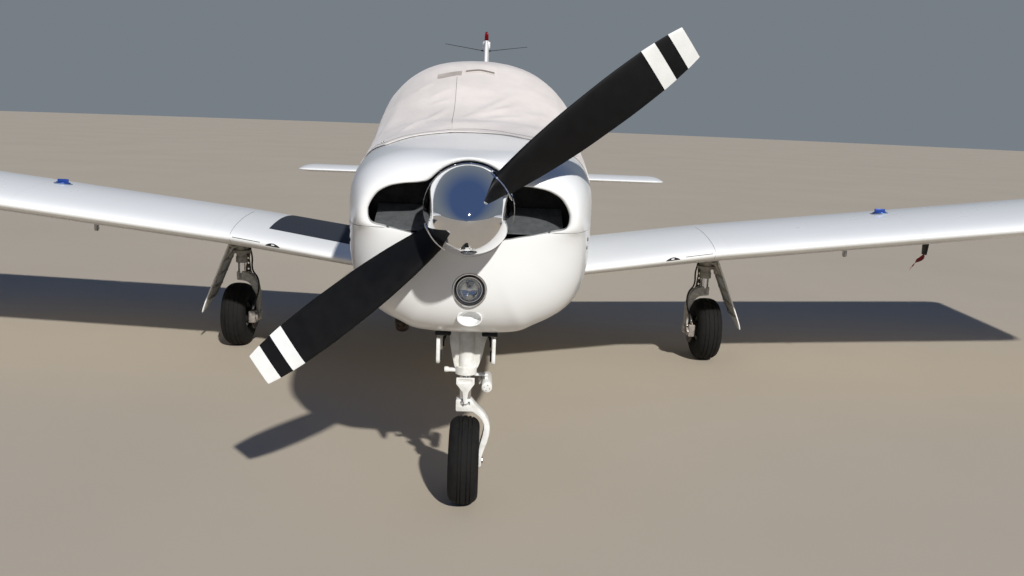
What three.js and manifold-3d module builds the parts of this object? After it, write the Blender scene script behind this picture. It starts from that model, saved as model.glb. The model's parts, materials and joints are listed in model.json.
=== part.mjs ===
// Low-wing single-engine light aircraft, parked on its tricycle gear with a cloth cover over the cabin.
// Millimetres. +X is the aircraft's left, the nose points to -Y, +Z is up.
// Stations along Y count from the main wheels' axle; the whole group is then moved so that the origin
// lies on the ground under the middle of the object's box.
import * as THREE from "three";
import { mergeVertices } from "three/addons/utils/BufferGeometryUtils.js";
import Module from "manifold-3d";

const wasm = await Module();
wasm.setup();

// Driving dimensions
const NOSE_Y = -3130;            // tip of the spinner
const TAIL_Y = 4400;             // trailing edge of rudder and tab
const HALF_SPAN = 4905;
const GAP = 0.3;                 // between fixed pieces that touch
const RUN = 8;                   // between a control surface and what it moves in

const FIREWALL_Y = -1750;
const CABIN_END_Y = 1280;
const COWL_WALL = 12;
const CABIN_WALL = 35;
const COWL_SPLIT_Z = 1170;
const SILL_Z = 1270;             // joint of the lower fuselage and the roof

const WING_LE_Y = -795;
const CHORD = 1600;
const WING_RATIO = 0.135;        // thickness over chord
const WING_CAMBER = 0.01;
const DIHEDRAL = 0.1157;         // rise per unit of span
const INCIDENCE = 0.0593;        // rise of the leading edge per unit of chord
const WING_ROOT_Z = 627;         // chord line at x = 0 and Y = 0

const THRUST_Z = 1260;
const PROP_Y = -2817;
const PROP_RADIUS = 940;
const PROP_ANGLE = 39.2;         // degrees above +X at which the upper blade stands
const SPINNER_RADIUS = 163;
const SPINNER_BASE_Y = -2745;

const TRACK_HALF = 1575;
const NOSE_GEAR_Y = -2400;
const MAIN_TYRE = { radius: 207.5, width: 160, rim: 78 };
const NOSE_TYRE = { radius: 181.5, width: 124, rim: 66 };

const radians = (degrees) => (degrees * Math.PI) / 180;
const point = (x, y, z) => new THREE.Vector3(x, y, z);

// Materials
const paint = new THREE.MeshStandardMaterial({ color: 0xf2f2f0, roughness: 0.25, metalness: 0 });
const finish = (color, roughness, metalness) =>
  new THREE.MeshStandardMaterial({ color, roughness, metalness });
const looks = {
  cloth: finish(0xe0d6cc, 0.9, 0),
  chrome: finish(0xd8d8da, 0.06, 1),
  blade: finish(0x1b1b1d, 0.6, 0),
  rubber: finish(0x17171a, 0.85, 0),
  legPaint: finish(0xf0f0ee, 0.35, 0),
  greyMetal: finish(0x8c8a84, 0.5, 0.6),
  darkMetal: finish(0x2a2a2c, 0.6, 0.4),
  engine: finish(0x6f7072, 0.55, 0.7),
  baffle: finish(0x8f9294, 0.6, 0.3),
  lens: finish(0xe8ecee, 0.08, 0),
  beacon: finish(0xb01818, 0.25, 0),
  webbing: finish(0x4a3526, 0.9, 0),
  ribbon: finish(0xc01a20, 0.8, 0),
};

// A closed triangle mesh as a solid that can be cut and joined
function solid(geometry) {
  const bare = geometry.clone();
  bare.deleteAttribute("normal");
  bare.deleteAttribute("uv");
  const merged = mergeVertices(bare, 1e-3);
  const vertProperties = new Float32Array(merged.attributes.position.array);
  let triVerts = Uint32Array.from(merged.index.array);
  if (signedVolume(vertProperties, triVerts) < 0) triVerts = turned(triVerts);
  return new wasm.Manifold(new wasm.Mesh({ numProp: 3, vertProperties, triVerts }));
}

function signedVolume(places, corners) {
  const at = (k) => point(places[3 * k], places[3 * k + 1], places[3 * k + 2]);
  let sum = 0;
  for (let i = 0; i < corners.length; i += 3) {
    sum += at(corners[i]).dot(at(corners[i + 1]).cross(at(corners[i + 2])));
  }
  return sum / 6;
}

function turned(corners) {
  const out = Uint32Array.from(corners);
  for (let i = 0; i < out.length; i += 3) [out[i + 1], out[i + 2]] = [out[i + 2], out[i + 1]];
  return out;
}

function geometryOf(body) {
  const mesh = body.getMesh();
  const geometry = new THREE.BufferGeometry();
  const places = new Float32Array((mesh.vertProperties.length / mesh.numProp) * 3);
  for (let i = 0; i < places.length / 3; i += 1) {
    for (let k = 0; k < 3; k += 1) places[3 * i + k] = mesh.vertProperties[mesh.numProp * i + k];
  }
  geometry.setAttribute("position", new THREE.BufferAttribute(places, 3));
  geometry.setIndex(new THREE.BufferAttribute(Uint32Array.from(mesh.triVerts), 1));
  geometry.computeVertexNormals();
  return geometry;
}

const aircraft = new THREE.Group();
aircraft.position.y = -(NOSE_Y + TAIL_Y) / 2;

function add(name, body, material, parent = aircraft) {
  const mesh = new THREE.Mesh(geometryOf(body), material);
  mesh.name = name;
  parent.add(mesh);
  return mesh;
}

// A skin through rings of equally many points, with both ends closed
function loft(rings) {
  const count = rings[0].length;
  const places = [];
  for (const ring of rings) for (const p of ring) places.push(p.x, p.y, p.z);
  const corners = [];
  for (let r = 0; r + 1 < rings.length; r += 1) {
    for (let i = 0; i < count; i += 1) {
      const j = (i + 1) % count;
      const [a, b, c, d] = [r * count + i, r * count + j, (r + 1) * count + j, (r + 1) * count + i];
      corners.push(a, b, c, a, c, d);
    }
  }
  const ends = [[rings[0], 0, true], [rings.at(-1), (rings.length - 1) * count, false]];
  for (const [ring, start, flip] of ends) {
    const middle = ring.reduce((sum, p) => sum.add(p), point(0, 0, 0)).divideScalar(count);
    const hub = places.length / 3;
    places.push(middle.x, middle.y, middle.z);
    for (let i = 0; i < count; i += 1) {
      const j = (i + 1) % count;
      if (flip) corners.push(hub, start + j, start + i);
      else corners.push(hub, start + i, start + j);
    }
  }
  const geometry = new THREE.BufferGeometry();
  geometry.setAttribute("position", new THREE.Float32BufferAttribute(places, 3));
  geometry.setIndex(corners);
  return solid(geometry);
}

function box(x0, x1, y0, y1, z0, z1) {
  const geometry = new THREE.BoxGeometry(x1 - x0, y1 - y0, z1 - z0);
  geometry.translate((x0 + x1) / 2, (y0 + y1) / 2, (z0 + z1) / 2);
  return solid(geometry);
}

// A cylinder or cone between two points
function rod(from, to, radius, sides = 16, endRadius = radius) {
  const geometry = new THREE.CylinderGeometry(endRadius, radius, from.distanceTo(to), sides);
  const up = point(0, 1, 0);
  geometry.applyQuaternion(new THREE.Quaternion().setFromUnitVectors(up, to.clone().sub(from).normalize()));
  geometry.translate((from.x + to.x) / 2, (from.y + to.y) / 2, (from.z + to.z) / 2);
  return solid(geometry);
}

// A flat outline drawn in two of the axes and given a thickness along the third
function plate(axis, outline, from, to) {
  const shape = new THREE.Shape(outline.map(([u, v]) => new THREE.Vector2(u, v)));
  const settings = { depth: to - from, bevelEnabled: false, curveSegments: 8 };
  const geometry = new THREE.ExtrudeGeometry(shape, settings);
  const places = geometry.attributes.position;
  for (let i = 0; i < places.count; i += 1) {
    const [u, v, w] = [places.getX(i), places.getY(i), places.getZ(i) + from];
    if (axis === "x") places.setXYZ(i, w, u, v);
    else if (axis === "y") places.setXYZ(i, u, w, v);
    else places.setXYZ(i, u, v, w);
  }
  return solid(geometry);
}

const join = (...bodies) => bodies.reduce((whole, body) => whole.add(body));
const mirrored = (body) => body.mirror([1, 0, 0]);

// Fuselage sections
// y, halfWidth, bottom, widest, top: heights; topPower, lowPower: how square the section is
const SECTIONS = [
  [-2722, 388, 862, 1225, 1402, 3.0, 2.6],
  [-2700, 412, 822, 1222, 1432, 3.0, 2.6],
  [-2640, 434, 788, 1220, 1450, 3.0, 2.7],
  [-2500, 458, 748, 1215, 1464, 3.0, 2.8],
  [-2300, 486, 702, 1212, 1476, 3.0, 2.9],
  [-2050, 510, 655, 1212, 1488, 3.0, 3.0],
  [-1750, 530, 622, 1216, 1500, 3.0, 3.0],
  [-1500, 541, 608, 1228, 1508, 2.9, 3.0],
  [-1310, 546, 602, 1240, 1600, 2.8, 3.0],
  [-1050, 550, 598, 1255, 1742, 2.7, 3.0],
  [-790, 551, 594, 1262, 1842, 2.6, 3.0],
  [-300, 551, 590, 1268, 1868, 2.6, 3.0],
  [300, 550, 590, 1268, 1860, 2.6, 3.0],
  [800, 535, 600, 1262, 1800, 2.6, 2.9],
  [1280, 482, 620, 1240, 1668, 2.5, 2.8],
  [1650, 418, 648, 1190, 1530, 2.4, 2.7],
  [2100, 338, 690, 1140, 1400, 2.3, 2.6],
  [2900, 222, 764, 1060, 1240, 2.2, 2.4],
  [3600, 140, 836, 1000, 1130, 2.1, 2.3],
  [3985, 92, 880, 966, 1072, 2.0, 2.2],
];
const AROUND = 40;
const INSIDE_AROUND = 24;

function sectionAt(y) {
  const after = Math.max(1, SECTIONS.findIndex((row) => row[0] >= y));
  const [low, high] = [SECTIONS[after - 1], SECTIONS[after]];
  const share = (y - low[0]) / (high[0] - low[0]);
  return low.map((value, k) => value + share * (high[k] - value));
}

function bodyRing(y, grow = 0) {
  const [, halfWidth, bottom, widest, top, topPower, lowPower] = sectionAt(y);
  const length = grow < 0 ? INSIDE_AROUND : AROUND;
  return Array.from({ length }, (_, i) => {
    const angle = (i / length) * 2 * Math.PI;
    const [c, s] = [Math.cos(angle), Math.sin(angle)];
    const power = s >= 0 ? topPower : lowPower;
    const rise = (s >= 0 ? top - widest : widest - bottom) + grow;
    const x = (halfWidth + grow) * Math.sign(c) * Math.abs(c) ** (2 / power);
    return point(x, y, widest + rise * Math.sign(s) * Math.abs(s) ** (2 / power));
  });
}

function bodyLoft(from, to, grow = 0) {
  const stations = SECTIONS.map((row) => row[0]).filter((y) => y > from + 1 && y < to - 1);
  return loft([from, ...stations, to].map((y) => bodyRing(y, grow)));
}

const sideAt = (y) => sectionAt(y)[1];
const FAR = 6000;
const above = (z) => box(-FAR, FAR, -FAR, FAR, z, FAR);
const below = (z) => box(-FAR, FAR, -FAR, FAR, -FAR, z);

// Engine cowl: a hollow upper and lower half with the air inlets beside the spinner
const NOSE_FACE_Y = -2722;
const NOSE_WALL = 22;
const inletOutline = [];
{
  const [halfWidth, middle, halfHeight, corner] = [362, 1255, 90, 80];
  const shape = new THREE.Shape();
  shape.moveTo(-halfWidth + corner, middle - halfHeight);
  shape.lineTo(halfWidth - corner, middle - halfHeight);
  shape.quadraticCurveTo(halfWidth, middle - halfHeight, halfWidth, middle);
  shape.quadraticCurveTo(halfWidth, middle + halfHeight, halfWidth - corner, middle + halfHeight);
  shape.lineTo(-halfWidth + corner, middle + halfHeight);
  shape.quadraticCurveTo(-halfWidth, middle + halfHeight, -halfWidth, middle);
  shape.quadraticCurveTo(-halfWidth, middle - halfHeight, -halfWidth + corner, middle - halfHeight);
  for (const p of shape.getPoints(6).slice(0, -1)) inletOutline.push([p.x, p.y]);
}
const SPINNER_HOLE = 172;
const noseOpening = join(
  plate("y", inletOutline, NOSE_FACE_Y - 60, NOSE_FACE_Y + NOSE_WALL + 20),
  rod(
    point(0, NOSE_FACE_Y - 60, THRUST_Z), point(0, NOSE_FACE_Y + NOSE_WALL + 20, THRUST_Z),
    SPINNER_HOLE, 48,
  ),
);

const LIGHT = { z: 962, radius: 60 };
const lightHole = (radius) =>
  rod(point(0, NOSE_FACE_Y - 60, LIGHT.z), point(0, NOSE_FACE_Y + NOSE_WALL + 30, LIGHT.z), radius, 32);
const NOSE_WELL = { halfWidth: 92, front: -2560, back: -1790 };
const EXHAUST = { x: -300, y: -2010, z: 690, radius: 32 };
const cowl = bodyLoft(NOSE_FACE_Y, FIREWALL_Y - GAP)
  .subtract(bodyLoft(NOSE_FACE_Y + NOSE_WALL, FIREWALL_Y + 20, -COWL_WALL))
  .subtract(noseOpening)
  .subtract(lightHole(LIGHT.radius + GAP))
  .subtract(box(-NOSE_WELL.halfWidth, NOSE_WELL.halfWidth, NOSE_WELL.front, NOSE_WELL.back, 500, 800))
  .subtract(box(EXHAUST.x - 60, EXHAUST.x + 60, EXHAUST.y - 90, EXHAUST.y + 130, 500, 800));
add("cowl_upper", cowl.intersect(above(COWL_SPLIT_Z + GAP / 2)), paint);
add("cowl_lower", cowl.intersect(below(COWL_SPLIT_Z - GAP / 2)), paint);

const lampBay = box(-100, 100, NOSE_FACE_Y + 2, NOSE_FACE_Y + 46, 850, 1080);
add("landing_light", lightHole(LIGHT.radius).intersect(lampBay), looks.lens);

// Engine as one block, with the crankshaft's flange that carries the propeller
const ENGINE = { halfWidth: 395, front: -2500, back: -1830, bottom: 985, top: 1335 };
const HUB_BACK_Y = -2738;
add("engine_block", join(
  box(-ENGINE.halfWidth, ENGINE.halfWidth, ENGINE.front, ENGINE.back, ENGINE.bottom, ENGINE.top),
  rod(point(0, HUB_BACK_Y + GAP, THRUST_Z), point(0, ENGINE.front + 10, THRUST_Z), 55, 24),
  rod(point(0, ENGINE.back - 10, 1160), point(0, FIREWALL_Y - GAP, 1160), 90, 24),
), looks.engine);

// Sheet-metal ramp behind the inlets that leads the air up over the cylinders
add("inlet_baffle", plate("x", [[-2694, 1172], [-2690, 1168], [-2512, 1236], [-2512, 1246]], -345, 345)
  .subtract(rod(point(0, -2800, THRUST_Z), point(0, -2400, THRUST_Z), 75, 24)), looks.baffle);

// Cabin: hollow, with firewall, rear bulkhead and windows
const BULKHEAD = 15;
const windowPrism = (y0, y1, z0, z1, slope) =>
  plate("x", [[y0 + slope, z0], [y1, z0], [y1 - 30, z1], [y0 + slope + 60, z1]], -FAR, FAR);
const windshield = (side) => {
  const outline = [[-1430, 1440], [-850, 1735], [-850, 2100], [-1430, 2100]];
  return side > 0 ? plate("x", outline, 28, 425) : plate("x", outline, -425, -28);
};
const cabin = bodyLoft(FIREWALL_Y, CABIN_END_Y)
  .subtract(bodyLoft(FIREWALL_Y + BULKHEAD, CABIN_END_Y - BULKHEAD, -CABIN_WALL))
  .subtract(windshield(1))
  .subtract(windshield(-1))
  .subtract(windowPrism(-500, 300, 1320, 1640, 0))
  .subtract(windowPrism(400, 980, 1320, 1620, 0));

const DOOR = { y0: -620, y1: 352, z0: 935, z1: 1712, gap: 6 };
const BAGGAGE = { y0: 850, y1: 1225, z0: 815, z1: 1222, gap: 9.5 };
const sideCut = ({ y0, y1, z0, z1 }, more) => box(-FAR, -250, y0 - more, y1 + more, z0 - more, z1 + more);
const cabinShell = cabin.subtract(sideCut(DOOR, DOOR.gap)).subtract(sideCut(BAGGAGE, BAGGAGE.gap));
add("cabin_lower", cabinShell.intersect(below(SILL_Z - GAP / 2)), paint);
add("cabin_roof", cabinShell.intersect(above(SILL_Z + GAP / 2)), paint);
add("cabin_door", cabin.intersect(sideCut(DOOR, 0)), paint);
add("baggage_door", cabin.intersect(sideCut(BAGGAGE, 0)), paint);

// Cloth cover over windshield and cabin, held by straps under the belly
const COVER = { front: -1800, back: 1400, hem: 1282, under: 7, over: 16 };
add("cockpit_cover", bodyLoft(COVER.front, COVER.back, COVER.over)
  .subtract(bodyLoft(COVER.front - 60, COVER.back + 60, COVER.under))
  .intersect(above(COVER.hem)), looks.cloth);

// y of each strap that runs from the cover's hem down round the belly
const STRAPS = [["cover_strap_front", -1330], ["cover_strap_rear", 1340]];
for (const [name, y] of STRAPS) {
  const halfWidth = 14;
  add(name, bodyLoft(y - halfWidth, y + halfWidth, 5)
    .subtract(bodyLoft(y - 60, y + 60, 1))
    .intersect(below(COVER.hem - GAP)), looks.webbing);
}

// Tail cone, open at the front behind the cabin's bulkhead
const CONE_END_Y = 3985;
const PIVOT = { y: 3890, z: 935 };
const torqueTube = (radius, halfLength) =>
  rod(point(-halfLength, PIVOT.y, PIVOT.z), point(halfLength, PIVOT.y, PIVOT.z), radius, 24);
const cone = bodyLoft(CABIN_END_Y + GAP, CONE_END_Y);
const tailCone = cone
  .subtract(bodyLoft(CABIN_END_Y - 30, 3560, -10))
  .subtract(torqueTube(34, 400));
const TAIL_LUG = { y: 3500, half: 8, length: 50, bottom: 782, top: 850 };
add("tail_cone", tailCone.add(box(-TAIL_LUG.half, TAIL_LUG.half, TAIL_LUG.y - TAIL_LUG.length / 2,
  TAIL_LUG.y + TAIL_LUG.length / 2, TAIL_LUG.bottom, TAIL_LUG.top)), paint);

// An aerofoil section of unit chord, thickest at two fifths of it: half its thickness, and its middle line
const halfThickness = (ratio, x) => ratio * (
  1.102 * Math.sqrt(x) - 0.669 * x + 2.721 * x ** 2 - 7.896 * x ** 3 + 5.994 * x ** 4 - 1.246 * x ** 5
);
const middleLine = (camber, x) => (x < 0.4
  ? (camber / 0.16) * (0.8 * x - x * x)
  : (camber / 0.36) * (0.2 + 0.8 * x - x * x));

// Trailing edge, over the top to the nose, back along the bottom
function foil(ratio, camber, points = 14) {
  const xs = Array.from({ length: points + 1 }, (_, i) => (1 - Math.cos((Math.PI * i) / points)) / 2);
  const upper = xs.toReversed().map((x) => [x, middleLine(camber, x) + halfThickness(ratio, x)]);
  const lower = xs.slice(1).map((x) => [x, middleLine(camber, x) - halfThickness(ratio, x)]);
  return [...upper, ...lower];
}

// Wing
const chordLine = (x, y) => WING_ROOT_Z + DIHEDRAL * x - INCIDENCE * y;
// x, leading edge, chord, thickness ratio
const WING_STATIONS = [
  [380, -1115, 1920, 0.094],
  [560, -1060, 1865, 0.0985],
  [1420, WING_LE_Y, CHORD, WING_RATIO],
  [4760, WING_LE_Y, CHORD, WING_RATIO],
  [4840, WING_LE_Y + 22, CHORD - 40, 0.112],
  [4885, WING_LE_Y + 60, CHORD - 100, 0.076],
  [HALF_SPAN, WING_LE_Y + 120, CHORD - 190, 0.032],
];
const wingRing = ([x, leading, chord, ratio]) => foil(ratio, WING_CAMBER).map(([u, v]) => {
  const y = leading + u * chord;
  return point(x, y, chordLine(x, y) + v * chord);
});

// Control surfaces on the wing: first and last x, hinge as a share of the chord
const WING_SURFACES = [
  { name: "flap", x0: 660, x1: 2690, hinge: 0.82 },
  { name: "aileron", x0: 2730, x1: 4560, hinge: 0.8 },
];
const hingeY = (share) => WING_LE_Y + share * CHORD;
const foilAt = (share) => ({
  middle: middleLine(WING_CAMBER, share) * CHORD,
  half: halfThickness(WING_RATIO, share) * CHORD,
});

// The ends of a surface and of its slot lean with the wing, square to the hinge line
const squared = (x, centre, y, z) => point(x - DIHEDRAL * (z - centre), y, z);

// A wedge with a round nose about its hinge; its last points are the two edges of the trailing edge
function surfaceRing(x, hinge) {
  const { middle, half } = foilAt(hinge);
  const y0 = hingeY(hinge);
  const centre = chordLine(x, y0) + middle;
  const radius = half - 1;
  const ring = [];
  for (let i = 0; i <= 8; i += 1) {
    const angle = radians(90 + (180 * i) / 8);
    ring.push(squared(x, centre, y0 + radius * Math.cos(angle), centre + radius * Math.sin(angle)));
  }
  const endY = WING_LE_Y + CHORD;
  for (const lift of [-2.5, 2.5]) ring.push(squared(x, centre, endY, chordLine(x, endY) + lift));
  return ring;
}

function slotRing(x, hinge) {
  const { middle, half } = foilAt(hinge);
  const centre = chordLine(x, hingeY(hinge)) + middle;
  const [front, back, reach] = [hingeY(hinge) - half - RUN, WING_LE_Y + CHORD + 50, 150];
  return [[front, -reach], [back, -reach], [back, reach], [front, reach]].map(([y, rise]) =>
    squared(x, centre, y, centre + rise));
}

const TRACKS = [["left", 1], ["right", -1]];
const sided = (body, side) => (side > 0 ? body : mirrored(body));
const wingWell = { x0: 900, x1: 1660, front: -250, back: 250, depth: 120 };
const lowerSkin = (x) => chordLine(x, 0) + foilAt(0.5).middle - foilAt(0.5).half;

const TIE_DOWN = { x: 2300, y: -450, half: 8, bottom: 800, top: 900 };
function wing(side) {
  let body = loft(WING_STATIONS.map(wingRing)).subtract(bodyLoft(-1740, CABIN_END_Y, GAP));
  for (const { x0, x1, hinge } of WING_SURFACES) {
    body = body.subtract(loft([slotRing(x0 - RUN, hinge), slotRing(x1 + RUN, hinge)]));
  }
  const { x0, x1, front, back, depth } = wingWell;
  const well = loft([x0, x1].map((x) => [
    point(x, front, lowerSkin(x) - 60), point(x, back, lowerSkin(x) - 60),
    point(x, back, lowerSkin(x) + depth), point(x, front, lowerSkin(x) + depth),
  ]));
  const lug = box(TIE_DOWN.x - TIE_DOWN.half, TIE_DOWN.x + TIE_DOWN.half, TIE_DOWN.y - 18, TIE_DOWN.y + 18,
    TIE_DOWN.bottom, TIE_DOWN.top);
  return sided(body.subtract(well).add(lug), side);
}

for (const [side, sign] of TRACKS) {
  add(`wing_${side}`, wing(sign), paint);
  for (const { name, x0, x1, hinge } of WING_SURFACES) {
    add(`${name}_${side}`, sided(loft([x0, x1].map((x) => surfaceRing(x, hinge))), sign), paint);
  }
}

// Fin and rudder
// z, leading edge, thickness
const FIN_STATIONS = [
  [1010, 2560, 90], [1200, 3060, 100], [1330, 3210, 98], [2250, 3740, 66], [2336, 3830, 40],
];
const RUDDER_HINGE_Y = 4045;
const RUDDER = { bottom: 1128, top: 2316, radius: 30 };
const finEnd = RUDDER_HINGE_Y - RUDDER.radius - RUN;
const finRing = ([z, leading, thick]) => {
  const length = finEnd - leading;
  const shares = [0, 0.02, 0.08, 0.2, 0.4, 0.7, 1];
  const half = (s) => (thick / 2) * Math.min(1, 2.2 * Math.sqrt(s) - 1.2 * s) * (1 - 0.15 * s);
  const right = shares.map((s) => point(half(s), leading + s * length, z));
  const left = shares.slice(1).toReversed().map((s) => point(-half(s), leading + s * length, z));
  return [...right, ...left];
};
const WHISKER = { y: 3985, z: 2238, reach: 440, rise: 68, aft: 90, radius: 3.5 };
const whisker = (radius) => join(...[1, -1].map((sign) => rod(
  point(0, WHISKER.y, WHISKER.z),
  point(sign * WHISKER.reach, WHISKER.y + WHISKER.aft, WHISKER.z + WHISKER.rise),
  radius, 8,
)));
const BEACON = { y: 3962, bottom: 2336.3, top: 2440, radius: 23, seat: 42 };
const beaconSeat = rod(point(0, BEACON.y, 2262), point(0, BEACON.y, 2336), BEACON.seat, 24);
add("fin", loft(FIN_STATIONS.map(finRing)).subtract(bodyLoft(CABIN_END_Y, CONE_END_Y, GAP))
  .add(beaconSeat)
  .subtract(box(-200, 200, CONE_END_Y - 5, FAR, 0, RUDDER.bottom - 40))
  .subtract(whisker(WHISKER.radius + GAP)), paint);
add("nav_antenna", whisker(WHISKER.radius), looks.darkMetal);

const rudderRing = (z, tail, radius) => {
  const ring = [];
  for (let i = 0; i <= 8; i += 1) {
    const angle = radians(90 + (180 * i) / 8);
    ring.push(point(radius * Math.sin(angle), RUDDER_HINGE_Y + radius * Math.cos(angle), z));
  }
  ring.push(point(-2.5, tail, z), point(2.5, tail, z));
  return ring;
};
add("rudder", loft([
  rudderRing(RUDDER.bottom, TAIL_Y - 60, RUDDER.radius),
  rudderRing(RUDDER.top, TAIL_Y, RUDDER.radius * 0.75),
]), paint);

const beaconProfile = [[0, 0], [1, 0], [1, 0.12], [0.82, 0.16], [0.82, 0.72], [0.6, 0.92], [0, 1]];
{
  const height = BEACON.top - BEACON.bottom;
  const points = beaconProfile.map(([r, h]) => new THREE.Vector2(r * BEACON.radius, h * height));
  const geometry = new THREE.LatheGeometry(points, 24);
  geometry.rotateX(Math.PI / 2);
  geometry.translate(0, BEACON.y, BEACON.bottom);
  add("beacon", solid(geometry), looks.beacon);
}

// All-moving tailplane on a torque tube, with an anti-servo tab along the trailing edge of each half
const STABILATOR = { root: 152, tip: 1950, leading: 3620, ratio: 0.1 };
const TAB = { x0: 172, x1: 1260, chord: 120, radius: 9 };
const tabHingeY = TAIL_Y - TAB.chord;
// x, leading edge, chord, thickness ratio
const stabilatorStations = [
  [STABILATOR.root, STABILATOR.leading, TAIL_Y - STABILATOR.leading, STABILATOR.ratio],
  [STABILATOR.tip - 90, STABILATOR.leading, TAIL_Y - STABILATOR.leading, STABILATOR.ratio],
  [STABILATOR.tip - 30, STABILATOR.leading + 30, TAIL_Y - STABILATOR.leading - 40, 0.07],
  [STABILATOR.tip, STABILATOR.leading + 80, TAIL_Y - STABILATOR.leading - 110, 0.03],
];
const stabilatorRing = ([x, leading, chord, ratio]) =>
  foil(ratio, 0, 10).map(([u, v]) => point(x, leading + u * chord, PIVOT.z + v * chord));
const stabilatorHalf = loft(stabilatorStations.map(stabilatorRing))
  .subtract(box(TAB.x0 - RUN, TAB.x1 + RUN, tabHingeY - TAB.radius - 6, FAR, 0, FAR));
add("stabilator",
  join(stabilatorHalf, mirrored(stabilatorHalf), torqueTube(26, STABILATOR.root + 10)), paint);
const tabRing = (x) => {
  const ring = [];
  for (let i = 0; i <= 6; i += 1) {
    const angle = radians(90 + (180 * i) / 6);
    ring.push(point(x, tabHingeY + TAB.radius * Math.cos(angle), PIVOT.z + TAB.radius * Math.sin(angle)));
  }
  ring.push(point(x, TAIL_Y, PIVOT.z - 2), point(x, TAIL_Y, PIVOT.z + 2));
  return ring;
};
for (const [side, sign] of TRACKS) {
  add(`trim_tab_${side}`, sided(loft([tabRing(TAB.x0), tabRing(TAB.x1)]), sign), paint);
}

// Propeller: built with its blades along X, then turned to the angle at which it stands
const propeller = new THREE.Group();
propeller.position.set(0, PROP_Y, THRUST_Z);
propeller.rotation.y = -radians(PROP_ANGLE);
aircraft.add(propeller);
// radius, chord, thickness, pitch in degrees
const BLADE_STATIONS = [
  [60, 90, 72, 45],
  [125, 104, 62, 44],
  [200, 130, 44, 39],
  [320, 156, 31, 32],
  [470, 171, 23, 26],
  [620, 173, 18, 21.5],
  [770, 164, 13, 18],
  [880, 143, 9, 16],
  [PROP_RADIUS, 122, 7, 15],
];
const bladeRing = ([r, chord, thick, pitch]) => {
  const [c, s] = [Math.cos(radians(pitch)), Math.sin(radians(pitch))];
  return Array.from({ length: 20 }, (_, i) => {
    const angle = (i / 20) * 2 * Math.PI;
    const [along, across] = [(chord / 2) * Math.cos(angle), (thick / 2) * Math.sin(angle)];
    return point(r, -along * s - across * c, along * c - across * s);
  });
};
const blade = loft(BLADE_STATIONS.map(bladeRing));
const hub = rod(point(0, HUB_BACK_Y - PROP_Y, 0), point(0, -60, 0), 68, 24);
add("propeller", join(hub, blade, blade.rotate([0, 180, 0])), looks.blade, propeller);

// forward reach as a share of the spinner's length, radius as a share of its base
const SPINNER_PROFILE = [
  [0, 1], [0.12, 0.995], [0.25, 0.97], [0.4, 0.915], [0.55, 0.825],
  [0.7, 0.69], [0.82, 0.54], [0.91, 0.385], [0.97, 0.22], [1, 0],
];
{
  const length = SPINNER_BASE_Y - NOSE_Y;
  const wall = 4;
  const outer = SPINNER_PROFILE.map(([h, r]) => new THREE.Vector2(r * SPINNER_RADIUS, h * length));
  const inner = SPINNER_PROFILE.filter((_, i) => i % 3 === 0).map(([h, r]) =>
    new THREE.Vector2(r * (SPINNER_RADIUS - wall), h * (length - wall) + (h === 0 ? -1 : 0)));
  const dome = (points, start) => {
    const geometry = new THREE.LatheGeometry([new THREE.Vector2(0, start), ...points], 32);
    geometry.translate(0, PROP_Y - SPINNER_BASE_Y, 0);
    geometry.rotateX(Math.PI);
    return solid(geometry);
  };
  const backplate = rod(point(0, SPINNER_BASE_Y - PROP_Y - 4, 0), point(0, SPINNER_BASE_Y - PROP_Y + 4, 0),
    SPINNER_RADIUS + 2, 32).subtract(rod(point(0, -100, 0), point(0, 200, 0), 72, 24));
  const shell = dome(outer, 0).subtract(dome(inner, -1));
  const bladeHoles = rod(point(-400, 0, 0), point(400, 0, 0), 64, 24);
  add("spinner", join(shell, backplate).subtract(bladeHoles), looks.chrome, propeller);
}

// A tyre of revolution about X, and the wheel inside it
function tyre({ radius, width, rim }, x, y, z) {
  const half = width / 2;
  const tread = [
    [rim, -0.62], [0.62 * radius, -0.93], [0.76 * radius, -1], [0.88 * radius, -0.9],
    [0.96 * radius, -0.66], [0.99 * radius, -0.35], [radius, 0],
  ];
  const left = tread.map(([r, w]) => new THREE.Vector2(r, w * half));
  const right = tread.slice(0, -1).toReversed().map(([r, w]) => new THREE.Vector2(r, -w * half));
  const profile = [...left, ...right, left[0].clone()];
  const geometry = new THREE.LatheGeometry(profile, 36);
  geometry.rotateZ(-Math.PI / 2);
  geometry.translate(x, y, z);
  return solid(geometry);
}

function wheel({ width, rim }, axle, x, y, z) {
  const half = width * 0.31;
  return rod(point(x - half, y, z), point(x + half, y, z), rim - 1, 24)
    .subtract(rod(point(x - half - 5, y, z), point(x - half + 22, y, z), rim - 14, 24))
    .subtract(rod(point(x + half - 22, y, z), point(x + half + 5, y, z), rim - 14, 24))
    .add(rod(point(x - half, y, z), point(x + half, y, z), axle + 14, 16))
    .subtract(rod(point(x - 200, y, z), point(x + 200, y, z), axle + 5, 16));
}

// Nose gear: fixed housing with its braces, steered piston and fork, shimmy damper
const NOSE = { collarBottom: 554, forkTop: 449, forkBottom: 398, axle: 12, wheelX: 2 };
const drag = (side) =>
  rod(point(side * 42, NOSE_GEAR_Y + 20, 790), point(side * 62, FIREWALL_Y - GAP, 705), 14, 12);
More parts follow.
